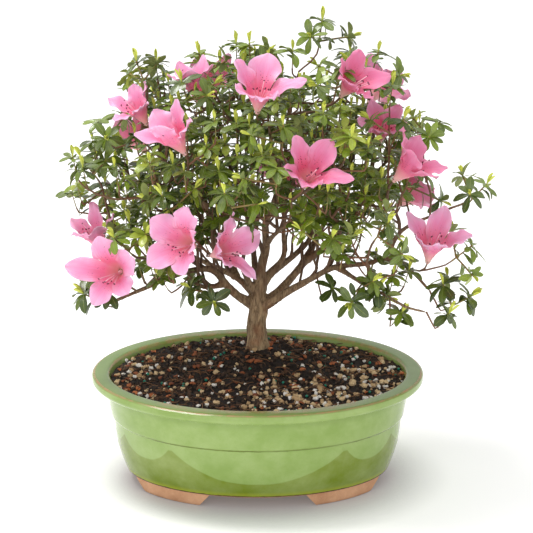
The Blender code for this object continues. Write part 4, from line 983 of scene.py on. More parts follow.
# How long, how wide and how far open each of a bloom's five lobes is, as shares of a regular one.
REGULAR_LOBES = (
    (1.0, 1.0, 1.0), (1.06, 0.92, 0.9), (0.96, 1.05, 1.06), (1.04, 0.95, 0.94), (0.95, 1.0, 1.08))
BLOOMS = (
    Bloom((0, -50, 356), (0.08, -0.34, 0.94), -6, 1.00, 1.08, (
        (1.18, 0.80, 1.20), (1.12, 1.25, 0.80), (1.05, 0.80, 0.62), (0.90, 0.85, 0.90), (0.72, 0.90, 0.95))),
    Bloom((-51, 5, 352), (-0.25, 0.10, 0.95), 20, 0.90, 0.92, (
        (0.80, 1.00, 0.60), (0.90, 0.80, 0.90), (1.12, 1.00, 0.60), (1.05, 0.80, 0.50), (0.90, 0.85, 0.80))),
    Bloom((-62, -52, 320), (-0.45, -0.25, 0.85), 30, 0.90, 1.05, (
        (0.85, 0.80, 1.00), (1.05, 0.65, 0.50), (1.00, 1.00, 0.80), (1.05, 0.90, 0.90), (1.00, 1.20, 0.42))),
    Bloom((-98, 10, 332), (-0.45, -0.20, 0.87), 0, 0.90, 0.90, (
        (0.75, 0.85, 1.10), (1.00, 0.70, 0.55), (0.90, 0.80, 0.65), (1.05, 0.75, 0.85), (0.90, 0.95, 1.30))),
    Bloom((72, -30, 366), (0.50, -0.40, 0.78), 50, 1.00, 0.98, (
        (1.00, 0.80, 0.70), (0.80, 0.80, 0.65), (0.72, 0.95, 0.80), (0.75, 0.65, 1.20), (1.15, 1.10, 1.05))),
    Bloom((40, -75, 297), (0.20, -0.60, 0.78), 40, 0.98, 1.02, (
        (1.10, 1.05, 0.75), (1.10, 0.75, 0.75), (0.80, 0.80, 0.95), (0.65, 0.90, 0.90), (1.18, 0.75, 1.20))),
    Bloom((118, -45, 294), (0.66, -0.20, 0.72), 25, 0.90, 1.05, (
        (1.00, 0.90, 0.90), (1.00, 0.90, 0.80), (0.85, 1.00, 0.60), (0.95, 0.90, 0.90), (1.10, 0.85, 1.05))),
    Bloom((111, 25, 312), (0.05, -0.45, 0.89), 40, 0.86, 0.85, REGULAR_LOBES),
    Bloom((-54, -58, 240), (-0.50, -0.80, 0.36), 8, 1.08, 1.04, (
        (0.85, 0.90, 0.60), (1.02, 1.05, 0.90), (1.04, 1.15, 1.00), (1.05, 1.05, 1.05), (0.92, 1.05, 1.00))),
    Bloom((-41, -56, 230), (0.64, -0.62, 0.46), 8, 1.04, 1.00, (
        (1.10, 1.10, 0.90), (1.12, 0.65, 0.80), (0.82, 0.90, 0.60), (0.70, 0.80, 0.70), (1.10, 0.55, 1.25))),
    Bloom((-139, 2, 215), (-0.35, -0.05, 0.93), 10, 0.92, 0.95, (
        (0.72, 0.90, 0.75), (0.85, 0.75, 0.90), (1.15, 0.60, 0.42), (1.00, 1.05, 0.65), (0.80, 0.90, 0.85))),
    Bloom((-120, -30, 208), (-0.36, -0.90, 0.25), 34, 1.08, 1.06, (
        (1.02, 1.15, 0.80), (1.05, 1.10, 0.90), (1.25, 0.88, 1.00), (0.95, 0.85, 1.05), (0.78, 0.90, 0.95))),
    Bloom((152, -20, 212), (0.14, -0.28, 0.95), 45, 0.98, 1.04, (
        (1.22, 0.92, 0.80), (1.10, 1.00, 0.90), (0.75, 0.80, 0.70), (0.62, 0.90, 0.60), (1.10, 0.85, 1.05))),
    Bloom((27, 98, 240), (0.10, 0.80, 0.60), 15, 1.04, 0.98, REGULAR_LOBES),
    Bloom((-40, 118, 330), (-0.20, 0.72, 0.68), 55, 1.00, 1.00, REGULAR_LOBES),
    Bloom((104, 112, 328), (0.45, 0.70, 0.58), 5, 1.04, 1.02, REGULAR_LOBES),
    Bloom((-104, 108, 282), (-0.60, 0.62, 0.50), 40, 1.00, 0.98, REGULAR_LOBES),
    Bloom((128, 64, 242), (0.80, 0.42, 0.42), 24, 0.96, 0.95, REGULAR_LOBES),
)
THROAT_RADIUS = 7.4
THROAT_HEIGHT = 14.0
PETALS = 5
PETAL_LEAN = (28.0, 72.0)
PETAL_ROOM = 1.04
STALK_ROOM = (4.0, -3.0)
THROAT_ROOM = (10.0, THROAT_HEIGHT)
LOBE_ROOM = (34.0, THROAT_HEIGHT + 18.0)
BLOOM_TOP = 42.0


def smooth_path(knots, step):
    """Points along a Catmull-Rom curve through the knots, about a step apart."""
    knots = [Vector(knot) for knot in knots]
    ends = [knots[0] * 2 - knots[1], *knots, knots[-1] * 2 - knots[-2]]
    dense = []
    for before, start, end, after in zip(ends, ends[1:], ends[2:], ends[3:]):
        for index in range(KNOT_STEPS):
            share = index / KNOT_STEPS
            dense.append(0.5 * (
                2 * start + (end - before) * share
                + (2 * before - 5 * start + 4 * end - after) * share ** 2
                + (3 * start - before - 3 * end + after) * share ** 3))
    dense.append(knots[-1])
    return resampled(dense, step)


def resampled(dense, step):
    """Evenly spaced points along a fine polyline, with both of its ends kept."""
    lengths = [0.0]
    for first, second in zip(dense, dense[1:]):
        lengths.append(lengths[-1] + (second - first).length)
    pieces = max(2, round(lengths[-1] / step))
    path = []
    index = 0
    for piece in range(pieces + 1):
        target = lengths[-1] * piece / pieces
        while index < len(dense) - 2 and lengths[index + 1] < target:
            index += 1
        share = (target - lengths[index]) / (lengths[index + 1] - lengths[index])
        path.append(dense[index].lerp(dense[index + 1], share))
    return path


class Site:
    """A place on the wood that a twig can start from."""

    def __init__(self, point, direction, route, owner):
        self.point = point
        self.direction = direction
        self.route = route
        self.owner = owner


def sites_along(path, route, owner, skip=1):
    sites = []
    for index in range(skip, len(path)):
        ahead = path[min(index + 1, len(path) - 1)] - path[index - 1]
        route += (path[index] - path[index - 1]).length
        sites.append(Site(path[index], ahead.normalized(), route, owner))
    return sites


def bezier(first, second, third, fourth, step):
    dense = []
    for index in range(TWIG_STEPS + 1):
        share = index / TWIG_STEPS
        rest = 1 - share
        dense.append(first * rest ** 3 + second * 3 * rest ** 2 * share
                     + third * 3 * rest * share ** 2 + fourth * share ** 3)
    return resampled(dense, step)


def bloom_reach(height):
    """How far from its axis a bloom needs room at a height above its base."""
    if height < STALK_ROOM[1] or height > BLOOM_TOP:
        return 0.0
    if height < THROAT_HEIGHT:
        return STALK_ROOM[0] + (THROAT_ROOM[0] - STALK_ROOM[0]) * height / THROAT_HEIGHT
    opened = min(1.0, (height - THROAT_HEIGHT) / (LOBE_ROOM[1] - THROAT_HEIGHT))
    return THROAT_ROOM[0] + (LOBE_ROOM[0] - THROAT_ROOM[0]) * opened


def clear_of_blooms(path, own):
    for number, bloom in enumerate(BLOOMS):
        if number == own:
            continue
        for point in path:
            height, aside = bloom.place_of(point)
            if aside < bloom_reach(height):
                return False
    return True


def twig_to(sites, tip, aim, own):
    """The easiest way from the wood to a tip that passes clear of the blooms."""
    ranked = sorted(sites, key=lambda site: (tip - site.point).length + ROUTE_WEIGHT * site.route)
    fallback = None
    for site in ranked[:ROUTES_TRIED]:
        distance = (tip - site.point).length
        leaving = site.direction.lerp((tip - site.point).normalized(), 0.5)
        start = site.point + leaving * distance * TWIG_BEND[0]
        last = tip - aim * TWIG_END
        path = [*bezier(site.point, start, last - aim * distance * TWIG_BEND[1], last, TWIG_STEP), tip]
        if fallback is None:
            fallback = site, path
        if clear_of_blooms(resampled(path, TWIG_SAMPLE), own):
            return site, path
    return fallback


def outward(point):
    away = (Vector(point) - CROWN_HEART).normalized()
    return (away * OUTWARD_SHARE + Vector((0, 0, UPWARD_SHARE))).normalized()


def tips(whorls):
    """Each tip that a twig must reach: the place, the way it points, and the bloom it carries, if any."""
    found = []
    for number, bloom in enumerate(BLOOMS):
        found.append((bloom.base - bloom.axis * GAP, bloom.axis, number))
    for whorl in whorls:
        if whorl.twig:
            found.append((whorl.base - whorl.aim * GAP, whorl.aim, None))
    return found


def nearest_on(path, point):
    """The point of a polyline that lies nearest to a point."""
    best = path[0]
    for first, second in zip(path, path[1:]):
        run = second - first
        share = max(0.0, min(1.0, (point - first).dot(run) / run.length_squared))
        here = first + run * share
        if (here - point).length < (best - point).length:
            best = here
    return best


def limb_paths(step):
    """Each limb's path, which starts inside the limb or trunk that carries it."""
    paths = {"trunk": [Vector(point) for _, point in TRUNK]}
    for name, (carrier, _, _, knots) in LIMBS.items():
        start = nearest_on(paths[carrier], Vector(knots[0]))
        paths[name] = smooth_path((start, *knots[1:]), step)
    return paths


def grow(whorls):
    """The twigs that reach every bloom and whorl, each with how many tips it feeds."""
    paths = limb_paths(LIMB_STEP)
    sites = []
    for name in LIMBS:
        route = (paths[name][0] - paths["trunk"][0]).length
        sites += sites_along(resampled(paths[name], TWIG_SAMPLE), route, None, skip=4)
    twigs = []
    for tip, aim, own in tips(whorls):
        site, path = twig_to(sites, tip, aim, own)
        twig = {"path": path, "parent": site.owner, "load": 1}
        twigs.append(twig)
        sites += sites_along(resampled(path, TWIG_SAMPLE), site.route, twig, skip=2)[:-2]
    for twig in twigs:
        carrier = twig["parent"]
        while carrier is not None:
            carrier["load"] += 1
            carrier = carrier["parent"]
    return twigs


# Whorls: the sprays of the frame come first, each with its side shoots, then more between them.

class Whorl:
    """A ring of leaves on a shoot: the shoot's start, the way it runs, its length and its leaves' size."""

    def __init__(self, base, aim, length=SHOOT_LENGTH, size=1.0, twig=True):
        self.base = base
        self.aim = aim
        self.length = length
        self.size = size
        self.twig = twig
        self.centre = base + aim * length


def shoot_axes(number):
    """A spray's base, the way its shoot points, and the way its first corner looks."""
    centre = SPRAY_CENTRES[number]
    aim = outward(centre)
    side = Quaternion(aim, number * GOLDEN_TURN) @ aim.orthogonal().normalized()
    return Vector(centre) - aim * SHOOT_LENGTH, aim, side


def shades_bloom(point):
    """True for a place inside a bloom's lobes or close in front of its face."""
    for bloom in BLOOMS:
        height, aside = bloom.place_of(point)
        room = bloom_reach(min(max(height, 0.0), LOBE_ROOM[1])) + BLOOM_MARGIN
        if -BLOOM_MARGIN < height < BLOOM_FRONT and aside < room:
            return True
    return False


def in_crown(point):
    """True well within the box of the main whorls, so that side shoots don't widen the crown."""
    for place, values in zip(point, zip(*SPRAY_CENTRES)):
        if not min(values) + CROWN_MARGIN <= place <= max(values) - CROWN_MARGIN:
            return False
    return True


def fork_sprays():
    """Each spray's side shoots, as the face they leave and the way they point, in the roomiest places."""
    taken = [Vector(centre) for centre in SPRAY_CENTRES]
    sprays = []
    for number in range(len(SPRAY_CENTRES)):
        base, aim, side = shoot_axes(number)
        options = []
        for face in range(SHOOT_SIDES):
            away = Quaternion(aim, 2 * math.pi * (face + 0.5) / SHOOT_SIDES) @ side
            for pitch in FORK_PITCHES:
                direction = away * math.cos(pitch) + aim * math.sin(pitch)
                end = base + aim * FORK_PLACE + direction * FORK_LENGTH
                if in_crown(end) and not shades_bloom(end):
                    options.append((face, direction, end))
        chosen = []
        while options and len(chosen) < FORKS:
            best = max(options, key=lambda option: min((option[2] - other).length for other in taken))
            if min((best[2] - other).length for other in taken) < FORK_SPACING:
                break
            chosen.append(best[:2])
            taken.append(best[2])
            options = [option for option in options if option[0] != best[0]]
        sprays.append(chosen)
    return sprays


CROWN_CENTRE = Vector((14.0, 28.0, 286.0))
CROWN_REACH = Vector((192.0, 132.0, 128.0))
CROWN_DEPTH = (0.34, 0.98)
WHORL_SPACING = 16.5
EXTRA_LENGTH = 16.0
WHORL_TRIES = 30000
VIEW_CLEAR = 23.0
# Leafy shoots along the low boughs, below the rest of the crown.
LOW_SHOOTS = ((129, -40, 173), (108, -35, 194), (68, -20, 189), (170, -45, 173), (-88, -20, 200))
# Open places in the crown as the viewer sees it: across and up in the upright plane through its middle, and
# how far round the place no whorl grows.
OPEN_PLACES = (
    (180, 300, 30), (157, 258, 26), (206, 242, 24), (177, 183, 24), (209, 183, 22), (158, 363, 34),
    (-153, 377, 36), (-157, 242, 22), (125, 234, 28),
)


def eye():
    """Where the photograph was taken from, in the pot's own millimetres."""
    stage = bpy.context.scene.bonsai_stage
    reach = stage.distance / MM
    return Vector((0, -reach * math.cos(stage.elevation), POT_HEIGHT + reach * math.sin(stage.elevation)))


def hides_bloom(point, viewer):
    """True where leaves would stand before a bloom that faces the viewer, or inside any bloom's lobes."""
    for bloom in BLOOMS:
        height, aside = bloom.place_of(point)
        if -2 < height < BLOOM_FRONT and aside < bloom_reach(min(height, 36)) + 9:
            return True
        middle = bloom.base + bloom.axis * 20 * bloom.scale
        sight = (middle - viewer).normalized()
        ahead = (middle - point).dot(sight)
        off_sight = ((point - middle) + sight * ahead).length
        if bloom.axis.y < 0 and ahead > 0 and off_sight < VIEW_CLEAR * bloom.scale:
            return True
    return False


def in_open_place(point, viewer):
    """True where a whorl would close one of the open places between the boughs."""
    share = (CROWN_CENTRE.y - viewer.y) / (point.y - viewer.y)
    seen = viewer + (point - viewer) * share
    return any(math.hypot(seen.x - x, seen.z - z) < room for x, z, room in OPEN_PLACES)


def crown_floor(x, y):
    """How low leaves grow: to 170 mm at the crown's sides, and above the open limbs at the front."""
    side = min(1.0, abs(x - 14) / 120)
    low = 262 - 92 * side ** 1.5
    return low + (16 if y > 60 else 0)


def fill_crown(total):
    """Places for the other whorls: spread through the crown's outer part with even spacing."""
    rng = random.Random(SEED + 2)
    viewer = eye()
    whorls = []
    for number, forks in enumerate(fork_sprays()):
        base, aim, _ = shoot_axes(number)
        whorls.append(Whorl(base, aim))
        for _, direction in forks:
            whorls.append(Whorl(base + aim * FORK_PLACE, direction, FORK_LENGTH, 0.92, twig=False))
    for place in LOW_SHOOTS:
        aim = (outward(place) + Vector((0, 0, 0.8))).normalized()
        whorls.append(Whorl(Vector(place) - aim * EXTRA_LENGTH, aim, EXTRA_LENGTH, 0.95))
    found = [whorl.centre for whorl in whorls]
    for _ in range(WHORL_TRIES):
        if len(found) >= total:
            break
        ray = Vector((rng.gauss(0, 1), rng.gauss(0, 1), rng.gauss(0, 1))).normalized()
        depth = rng.uniform(*CROWN_DEPTH)
        point = CROWN_CENTRE + Vector(a * b for a, b in zip(ray, CROWN_REACH)) * depth
        if point.z < crown_floor(point.x, point.y):
            continue
        if any((point - other).length < WHORL_SPACING for other in found):
            continue
        if hides_bloom(point, viewer) or in_open_place(point, viewer):
            continue
        found.append(point)
        aim = (outward(point) * rng.uniform(0.25, 0.6) + Vector((0, 0, 1))).normalized()
        whorls.append(Whorl(point - aim * EXTRA_LENGTH, aim, EXTRA_LENGTH, rng.uniform(0.78, 1.05)))
    return whorls


# Wood

TRUNK_FLUTES = ((3, 0.07, 0.045), (5, 0.05, -0.03), (8, 0.03, 0.02))


def tube_rings(path, radii, sides):
    """Rings round a path, each turned from the last as little as the bend allows."""
    tangents = []
    for index in range(len(path)):
        tangents.append((path[min(index + 1, len(path) - 1)] - path[max(index - 1, 0)]).normalized())
    side = tangents[0].orthogonal().normalized()
    before = tangents[0]
    rings = []
    for point, tangent, radius in zip(path, tangents, radii):
        side = (before.rotation_difference(tangent) @ side).normalized()
        other = tangent.cross(side)
        before = tangent
        ring = []
        for step in range(sides):
            angle = 2 * math.pi * step / sides
            ring.append(point + (side * math.cos(angle) + other * math.sin(angle)) * radius)
        rings.append(ring)
    return rings


def tubes(name, runs, sides):
    """One mesh of closed tubes: each run is a path, its radii and a tone."""
    points, faces, tones = [], [], []
    for path, radii, tone in runs:
        rings = tube_rings(path, radii, sides)
        start = len(points)
        for ring in rings:
            points.extend(ring)
        for level in range(len(rings) - 1):
            for step in range(sides):
                low = start + level * sides
                high = low + sides
                after = (step + 1) % sides
                faces.append((low + step, low + after, high + after, high + step))
        faces.append(tuple(start + step for step in reversed(range(sides))))
        faces.append(tuple(len(points) - sides + step for step in range(sides)))
        tones.extend([tone] * ((len(rings) - 1) * sides + 2))
    mesh = bpy.data.meshes.new(name)
    mesh.from_pydata(points, [], faces)
    mesh.attributes.new("tone", "FLOAT", "FACE").data.foreach_set("value", tones)
    obj = bpy.data.objects.new(name, mesh)
    bpy.context.scene.collection.objects.link(obj)
    return obj


def lerp_radii(first, last, count):
    return [first + (last - first) * index / (count - 1) for index in range(count)]


def make_trunk():
    """The trunk with shallow flutes that wind up it, flaring where it meets the soil."""
    centres = smooth_path([point for _, point in TRUNK], 2.5)
    heights = [point[2] for _, point in TRUNK]
    radii = []
    for centre in centres:
        radii.append(float(np.interp(centre.z, heights, [radius for radius, _ in TRUNK])))
    sides = 40
    trunk = tubes("trunk", [(centres, radii, 1.0)], sides)
    for index, vertex in enumerate(trunk.data.vertices):
        centre = centres[index // sides]
        offset = vertex.co - centre
        angle = math.atan2(offset.y, offset.x)
        flute = 1.0
        for count, depth, wind in TRUNK_FLUTES:
            flute += depth * math.sin(count * angle + wind * centre.z * count)
        base = max(0.0, (116 - centre.z) / 14) if centre.z > 100 else 1.0
        flute += 0.10 * base * math.sin(4 * angle + 0.6)
        vertex.co = centre + offset * flute
    return trunk


def make_limbs(settings):
    """Trunk and limbs as one grown body, with bark relief."""
    paths = limb_paths(5.0)
    rng = random.Random(SEED + 3)
    runs = []
    for name, (_, first, last, _) in LIMBS.items():
        path = paths[name]
        radii = []
        for index, point in enumerate(path):
            share = index / (len(path) - 1)
            swell = 1 + 0.10 * noise.noise(point * 0.05) + 0.05 * rng.uniform(-1, 1)
            flare = 1 + 0.45 * math.exp(-((index * 5.0 / 14) ** 2))
            radii.append((first + (last - first) * share ** 0.8) * swell * flare)
        radii[-1] *= 0.7
        runs.append((path, radii, 1.0))
    wood = join([make_trunk(), tubes("limbs", runs, 12)], "trunk_and_limbs")
    apply_modifier(wood, "REMESH", mode="VOXEL", voxel_size=settings.voxel / MM, use_smooth_shade=True)
    apply_modifier(wood, "SMOOTH", factor=0.5, iterations=2)
    for vertex, normal in zip(wood.data.vertices, [vertex.normal.copy() for vertex in wood.data.vertices]):
        place = vertex.co
        ridge = noise.noise(Vector((place.x * 0.55, place.y * 0.55, place.z * 0.14)))
        fine = noise.noise(place * 0.7)
        thick = min(1.0, max(0.25, (200 - place.z) / 90))
        vertex.co = place + normal * (0.75 * ridge + 0.25 * fine) * thick
    wood.data.materials.append(bark_finish(settings))
    smooth(wood, 80)
    return settle(wood, "bark", "tree")


INNER_TWIGS = 60
INNER_HEIGHTS = (172, 250)
INNER_ROOM = 62


def inner_twigs(limbs):
    """Old leafless twigs that rise from the limbs through the shaded heart of the crown."""
    rng = random.Random(SEED + 6)
    starts = []
    for path in limbs:
        for before, point in zip(path, path[1:]):
            if INNER_HEIGHTS[0] < point.z < INNER_HEIGHTS[1] and abs(point.x - 12) < INNER_ROOM:
                starts.append((point, (point - before).normalized()))
    runs = []
    for _ in range(INNER_TWIGS):
        start, ahead = rng.choice(starts)
        rise = rng.uniform(45, 105)
        end = start + Vector(((start.x - 12) * 0.3 + rng.gauss(0, 13), rng.gauss(0, 16), rise))
        path = bezier(start, start + ahead * rise * 0.35, end - Vector((0, 0, rise * 0.4)), end, 7.0)
        for index in range(2, len(path)):
            path[index] = path[index] + Vector((rng.gauss(0, 1), rng.gauss(0, 1), 0)) * 0.7
        if clear_of_blooms(path, None):
            runs.append((path, lerp_radii(rng.uniform(1.1, 1.9), 0.6, len(path)), 0.8))
    return runs


def make_twigs(settings, twigs):
    """Every twig from the limbs to its bloom or whorl, with small bends at its nodes."""
    fine_limbs = list(limb_paths(5.0).values())[1:]
    rng = random.Random(SEED + 4)
    fine = {}
    runs = inner_twigs(fine_limbs)
    youngest = settings.twig_radius / MM
    for twig in twigs:
        coarse = twig["path"]
        carriers = [fine[id(twig["parent"])]] if twig["parent"] else fine_limbs
        start = min((nearest_on(path, coarse[0]) for path in carriers),
                    key=lambda point: (point - coarse[0]).length)
        path = smooth_path([start, *coarse[1:]], 6.0)
        for index in range(2, len(path) - 2):
            path[index] = path[index] + Vector((rng.gauss(0, 1), rng.gauss(0, 1), rng.gauss(0, 1))) * 0.42
        fine[id(twig)] = path
        first = youngest * twig["load"] ** TWIG_GROWTH + 0.12
        radii = lerp_radii(first, max(youngest, first * 0.72), len(path))
        radii = [radius * rng.uniform(0.94, 1.08) for radius in radii]
        runs.append((path, radii, min(1.0, (twig["load"] - 1) / 6)))
    piece = tubes("twigs", runs, 7)
    piece.data.materials.append(twig_finish(settings))
    smooth(piece, 60)
    return settle(piece, "bark")


# Foliage

LEAF_ROWS = (0.0, 0.16, 0.38, 0.6, 0.8, 0.93, 1.0)
LEAF_KINDS = 8
WHORL_LEAVES = (6, 9)
LOW_WHORLS = 200


def leaf_outline(along):
    """A leaf's half width at a share of its length: narrow stalk, broadest past the middle, rounded tip."""
    return max(0.12, math.sin(math.pi * along ** 1.45) ** 0.64) if along < 1 else 0.12


def model_leaf(settings, droop, fold, curl, width, rng):
    """A leaf of unit length along +X: arched down, folded along its midrib, with rolled edges."""
    leaf = add(bpy.ops.mesh.primitive_grid_add, "leaf", x_subdivisions=len(LEAF_ROWS) - 1, y_subdivisions=2,
               size=1.0)
    half = width * settings.half_width / settings.length
    twist = rng.uniform(-0.3, 0.3)
    for vertex in leaf.data.vertices:
        along = LEAF_ROWS[round((vertex.co.x + 0.5) * (len(LEAF_ROWS) - 1))]
        across = vertex.co.y * 2
        side = across * half * leaf_outline(along)
        lift = (fold - curl * along) * abs(across) * leaf_outline(along)
        x = along - 0.3 * droop * along ** 3
        z = lift * half - droop * along ** 2 + twist * side * along
        vertex.co = Vector((x, side, z))
    leaf.data.uv_layers.active.name = "UVMap"
    for loop in leaf.data.loops:
        uv = leaf.data.uv_layers.active.data[loop.index].uv
        row = LEAF_ROWS[round(uv.x * (len(LEAF_ROWS) - 1))]
        leaf.data.uv_layers.active.data[loop.index].uv = (uv.y, row)
    for _ in range(2):
        leaf.data.materials.append(None)
    apply_modifier(leaf, "SOLIDIFY", thickness=settings.thickness / settings.length, offset=-1.0,
                   material_offset=1, material_offset_rim=0)
    return Shape(leaf)


def model_shoot():
    """A thin shoot of unit length along +Z."""
    rings = [Vector((0.015 * math.sin(3 * step / 3), 0, step / 3)) for step in range(4)]
    shoot = tubes("shoot", [(rings, (0.034, 0.031, 0.030, 0.034), 0.0)], 5)
    shoot.data.materials.append(None)
    shoot.data.materials.append(None)
    shoot.data.materials.append(None)
    for face in shoot.data.polygons:
        face.material_index = 2
    return Shape(shoot)


def leaf_matrix(base, aim, side, turn, pitch, size, roll=0.0):
    """Stands a leaf on a shoot, raised by its pitch from square to the shoot, its face towards the light."""
    round_shoot = Quaternion(aim, turn) @ side
    along = (round_shoot * math.cos(pitch) + aim * math.sin(pitch)).normalized()
    up = aim.lerp(Vector((0, 0, 1)), 0.5)
    y = up.cross(along).normalized()
    z = along.cross(y)
    place = Matrix.Translation(base) @ Matrix((along, y, z)).transposed().to_4x4()
    return place @ Matrix.Rotation(roll, 4, "X") @ Matrix.Scale(size, 4)


def whorl_copies(whorl, length, kinds, young_kinds, rng):
    """The placings of one whorl: its shoot, its ring of leaves, a few lower ones and the new growth."""
    base, aim, reach = whorl.base, whorl.aim, whorl.length
    length *= whorl.size
    side = aim.orthogonal().normalized()
    facing = aim.to_track_quat("Z", "Y").to_matrix().to_4x4()
    placings = [(kinds + young_kinds, Matrix.Translation(base) @ facing @ Matrix.Scale(reach, 4),
                 rng.random())]
    freshness = rng.random()
    mood = 0.06 + 0.3 * rng.random() if freshness < 0.78 else 0.4 + 0.25 * rng.random()
    if whorl.centre.z < LOW_WHORLS:
        mood *= 0.5
        length *= 1.12
    count = rng.randint(*WHORL_LEAVES)
    start = rng.uniform(0, 2 * math.pi)
    for leaf in range(count):
        turn = start + 2 * math.pi * leaf / count + rng.uniform(-0.25, 0.25)
        pitch = math.radians(rng.uniform(-14, 30))
        size = length * rng.uniform(0.72, 1.08)
        along = reach - rng.uniform(0.0, 3.0)
        tone = min(1.0, max(0.0, mood + rng.uniform(-0.14, 0.14)))
        kind = rng.randrange(kinds)
        stand = leaf_matrix(base + aim * along, aim, side, turn, pitch, size, rng.uniform(-0.4, 0.4))
        placings.append((kind, stand, tone))
    for leaf in range(rng.randint(2, 4)):
        turn = start + math.radians(36 + 137 * leaf)
        along = reach * (0.74 - 0.2 * leaf)
        size = length * rng.uniform(0.55, 0.85)
        placings.append((rng.randrange(kinds),
                         leaf_matrix(base + aim * max(4.0, along), aim, side, turn,
                                     math.radians(rng.uniform(10, 40)), size, rng.uniform(-0.3, 0.3)),
                         max(0.0, mood - 0.1)))
    if rng.random() < 0.82:
        buds = rng.randint(2, 4)
        for bud in range(buds):
            turn = start + 2 * math.pi * bud / buds
            size = length * rng.uniform(0.46, 0.7)
            pitch = math.radians(rng.uniform(72, 87))
            placings.append((kinds + rng.randrange(young_kinds),
                             leaf_matrix(base + aim * reach, aim, side, turn, pitch, size),
                             rng.uniform(0.85, 1.0)))
    return placings


REGIONS = {
    "foliage_left": lambda point: point.x < -48 and point.y < 60,
    "foliage_right": lambda point: point.x > 78 and point.y < 60,
    "foliage_back": lambda point: point.y >= 60,
    "foliage_middle": lambda point: True,
}


def make_foliage(settings, whorls):
    rng = random.Random(SEED + 5)
    kinds = []
    for kind in range(LEAF_KINDS):
        share = kind / (LEAF_KINDS - 1)
        kinds.append(model_leaf(settings, 0.12 + 0.36 * share, rng.uniform(0.2, 0.6),
                                rng.uniform(0.1, 0.6), rng.uniform(0.82, 1.12), rng))
    young = []
    for _ in range(3):
        young.append(model_leaf(settings, -0.05, 1.1, -0.2, rng.uniform(0.5, 0.72), rng))
    shoot = model_shoot()
    finishes = [leaf_finish(settings), underleaf_finish(settings),
                plain_finish("green shoot", srgb(128, 138, 66), srgb(150, 104, 70), 260.0, 0.5)]
    length = settings.length / MM
    groups = {name: [] for name in REGIONS}
    nodes = {name: [] for name in REGIONS}
    for whorl in whorls:
        region = next(name for name, test in REGIONS.items() if test(whorl.centre))
        groups[region] += whorl_copies(whorl, length, LEAF_KINDS, len(young), rng)
    for number, centre in enumerate(SPRAY_CENTRES):
        region = next(name for name, test in REGIONS.items() if test(Vector(centre)))
        nodes[region].append(SPRAY_NODES[number])
    for name, placings in groups.items():
        piece = lay_copies(name, kinds + young + [shoot], placings, finishes, degrees=80)
        settle(piece, "foliage", *nodes[name])


# Blooms

PETAL_ROWS = 20
PETAL_COLUMNS = 12
TUBE_SHARE = 0.26
FUSED_SHARE = 0.13


def petal_line(rise, lean, length):
    """The middle of a petal in its own upright plane, from the tube's base to its tip: radius and height."""
    if rise < 0.0:
        share = rise + 1.0
        bend = share ** 1.3
        radius = 1.6 + (THROAT_RADIUS - 1.6) * bend
        return radius, THROAT_HEIGHT * share
    steps = 14
    reach, height = 0.0, 0.0
    for index in range(steps):
        angle = math.radians(lean[0] + (lean[1] - lean[0]) * (index + 0.5) / steps * rise)
        reach += math.sin(angle) * rise * length / steps
        height += math.cos(angle) * rise * length / steps
    return THROAT_RADIUS + reach, THROAT_HEIGHT + height


def lobe_width(rise):
    """A lobe's half width as a share of its greatest, from the throat to its rounded tip."""
    share = (0.18 + 0.82 * min(1.0, rise)) ** 1.35
    return max(0.1, math.sin(math.pi * share) ** 0.66)


def model_petal(lobe, settings, rng):
    """One petal as a sheet: fused to its neighbours up to the notch, then spreading as a ruffled lobe."""
    full = settings.petal_length / MM
    half = settings.petal_half_width / MM * lobe["width"]
    sheet = add(bpy.ops.mesh.primitive_grid_add, "petal", x_subdivisions=PETAL_ROWS,
                y_subdivisions=PETAL_COLUMNS, size=1.0)
    sector = math.pi / PETALS
    phase = rng.uniform(0, 6.28)
    waves = rng.uniform(1.9, 3.2)
    for vertex in sheet.data.vertices:
        across = vertex.co.y * 2
        rise = (vertex.co.x + 0.5 - TUBE_SHARE) / (1 - TUBE_SHARE)
        if rise < 0:
            rise *= (1 - TUBE_SHARE) / TUBE_SHARE
        free_share = min(1.0, max(0.0, (rise - 0.08) / FUSED_SHARE))
        free_share = free_share * free_share * (3 - 2 * free_share)
        seam = across * across * (1 - free_share)
        lean = [own + (shared - own) * seam for own, shared in zip(lobe["lean"], lobe["seam"])]
        length = full * (lobe["length"] + (1 - lobe["length"]) * seam)
        radius, height = petal_line(max(-1.0, rise), lean, length)
        angle = across * sector
        fused = Vector((radius * math.cos(angle), radius * math.sin(angle), height))
        if rise <= 0:
            vertex.co = fused
            continue
        ahead = petal_line(min(1.0, rise + 0.02), lean, length)
        behind = petal_line(max(0.0, rise - 0.02), lean, length)
        along = Vector((ahead[0] - behind[0], 0, ahead[1] - behind[1])).normalized()
        normal = Vector((-along.z, 0, along.x))
        room = radius * math.tan(sector) * PETAL_ROOM
        width = min(room, half * lobe_width(rise))
        margin = abs(across) ** 2.4
        wave = math.sin(waves * 2 * math.pi * rise + phase + (1.9 if across > 0 else 0))
        wave *= lobe["ruffle"] * margin
        cup = lobe["cup"] * abs(across) ** 1.6 * (1 - 0.8 * rise)
        curl = lobe["curl"] * margin * max(0.0, rise - 0.3)
        crease = 0.8 * (1 - abs(across)) ** 3 * min(1.0, rise * 2)
        twist = lobe["twist"] * rise * rise * across
        lift = (cup - curl + twist) * width + wave - crease
        vertex.co = fused.lerp(Vector((radius, across * width, height)) + normal * lift, free_share)
    layer = sheet.data.uv_layers.active
    layer.name = "UVMap"
    for loop in sheet.data.loops:
        x, y = layer.data[loop.index].uv
        layer.data[loop.index].uv = (y, x)
    sheet.data.transform(Matrix.Rotation(lobe["turn"], 4, "Z"))
    blotch = sheet.data.attributes.new("blotch", "FLOAT", "POINT")
    for item in blotch.data:
        item.value = lobe["blotch"]
    return sheet


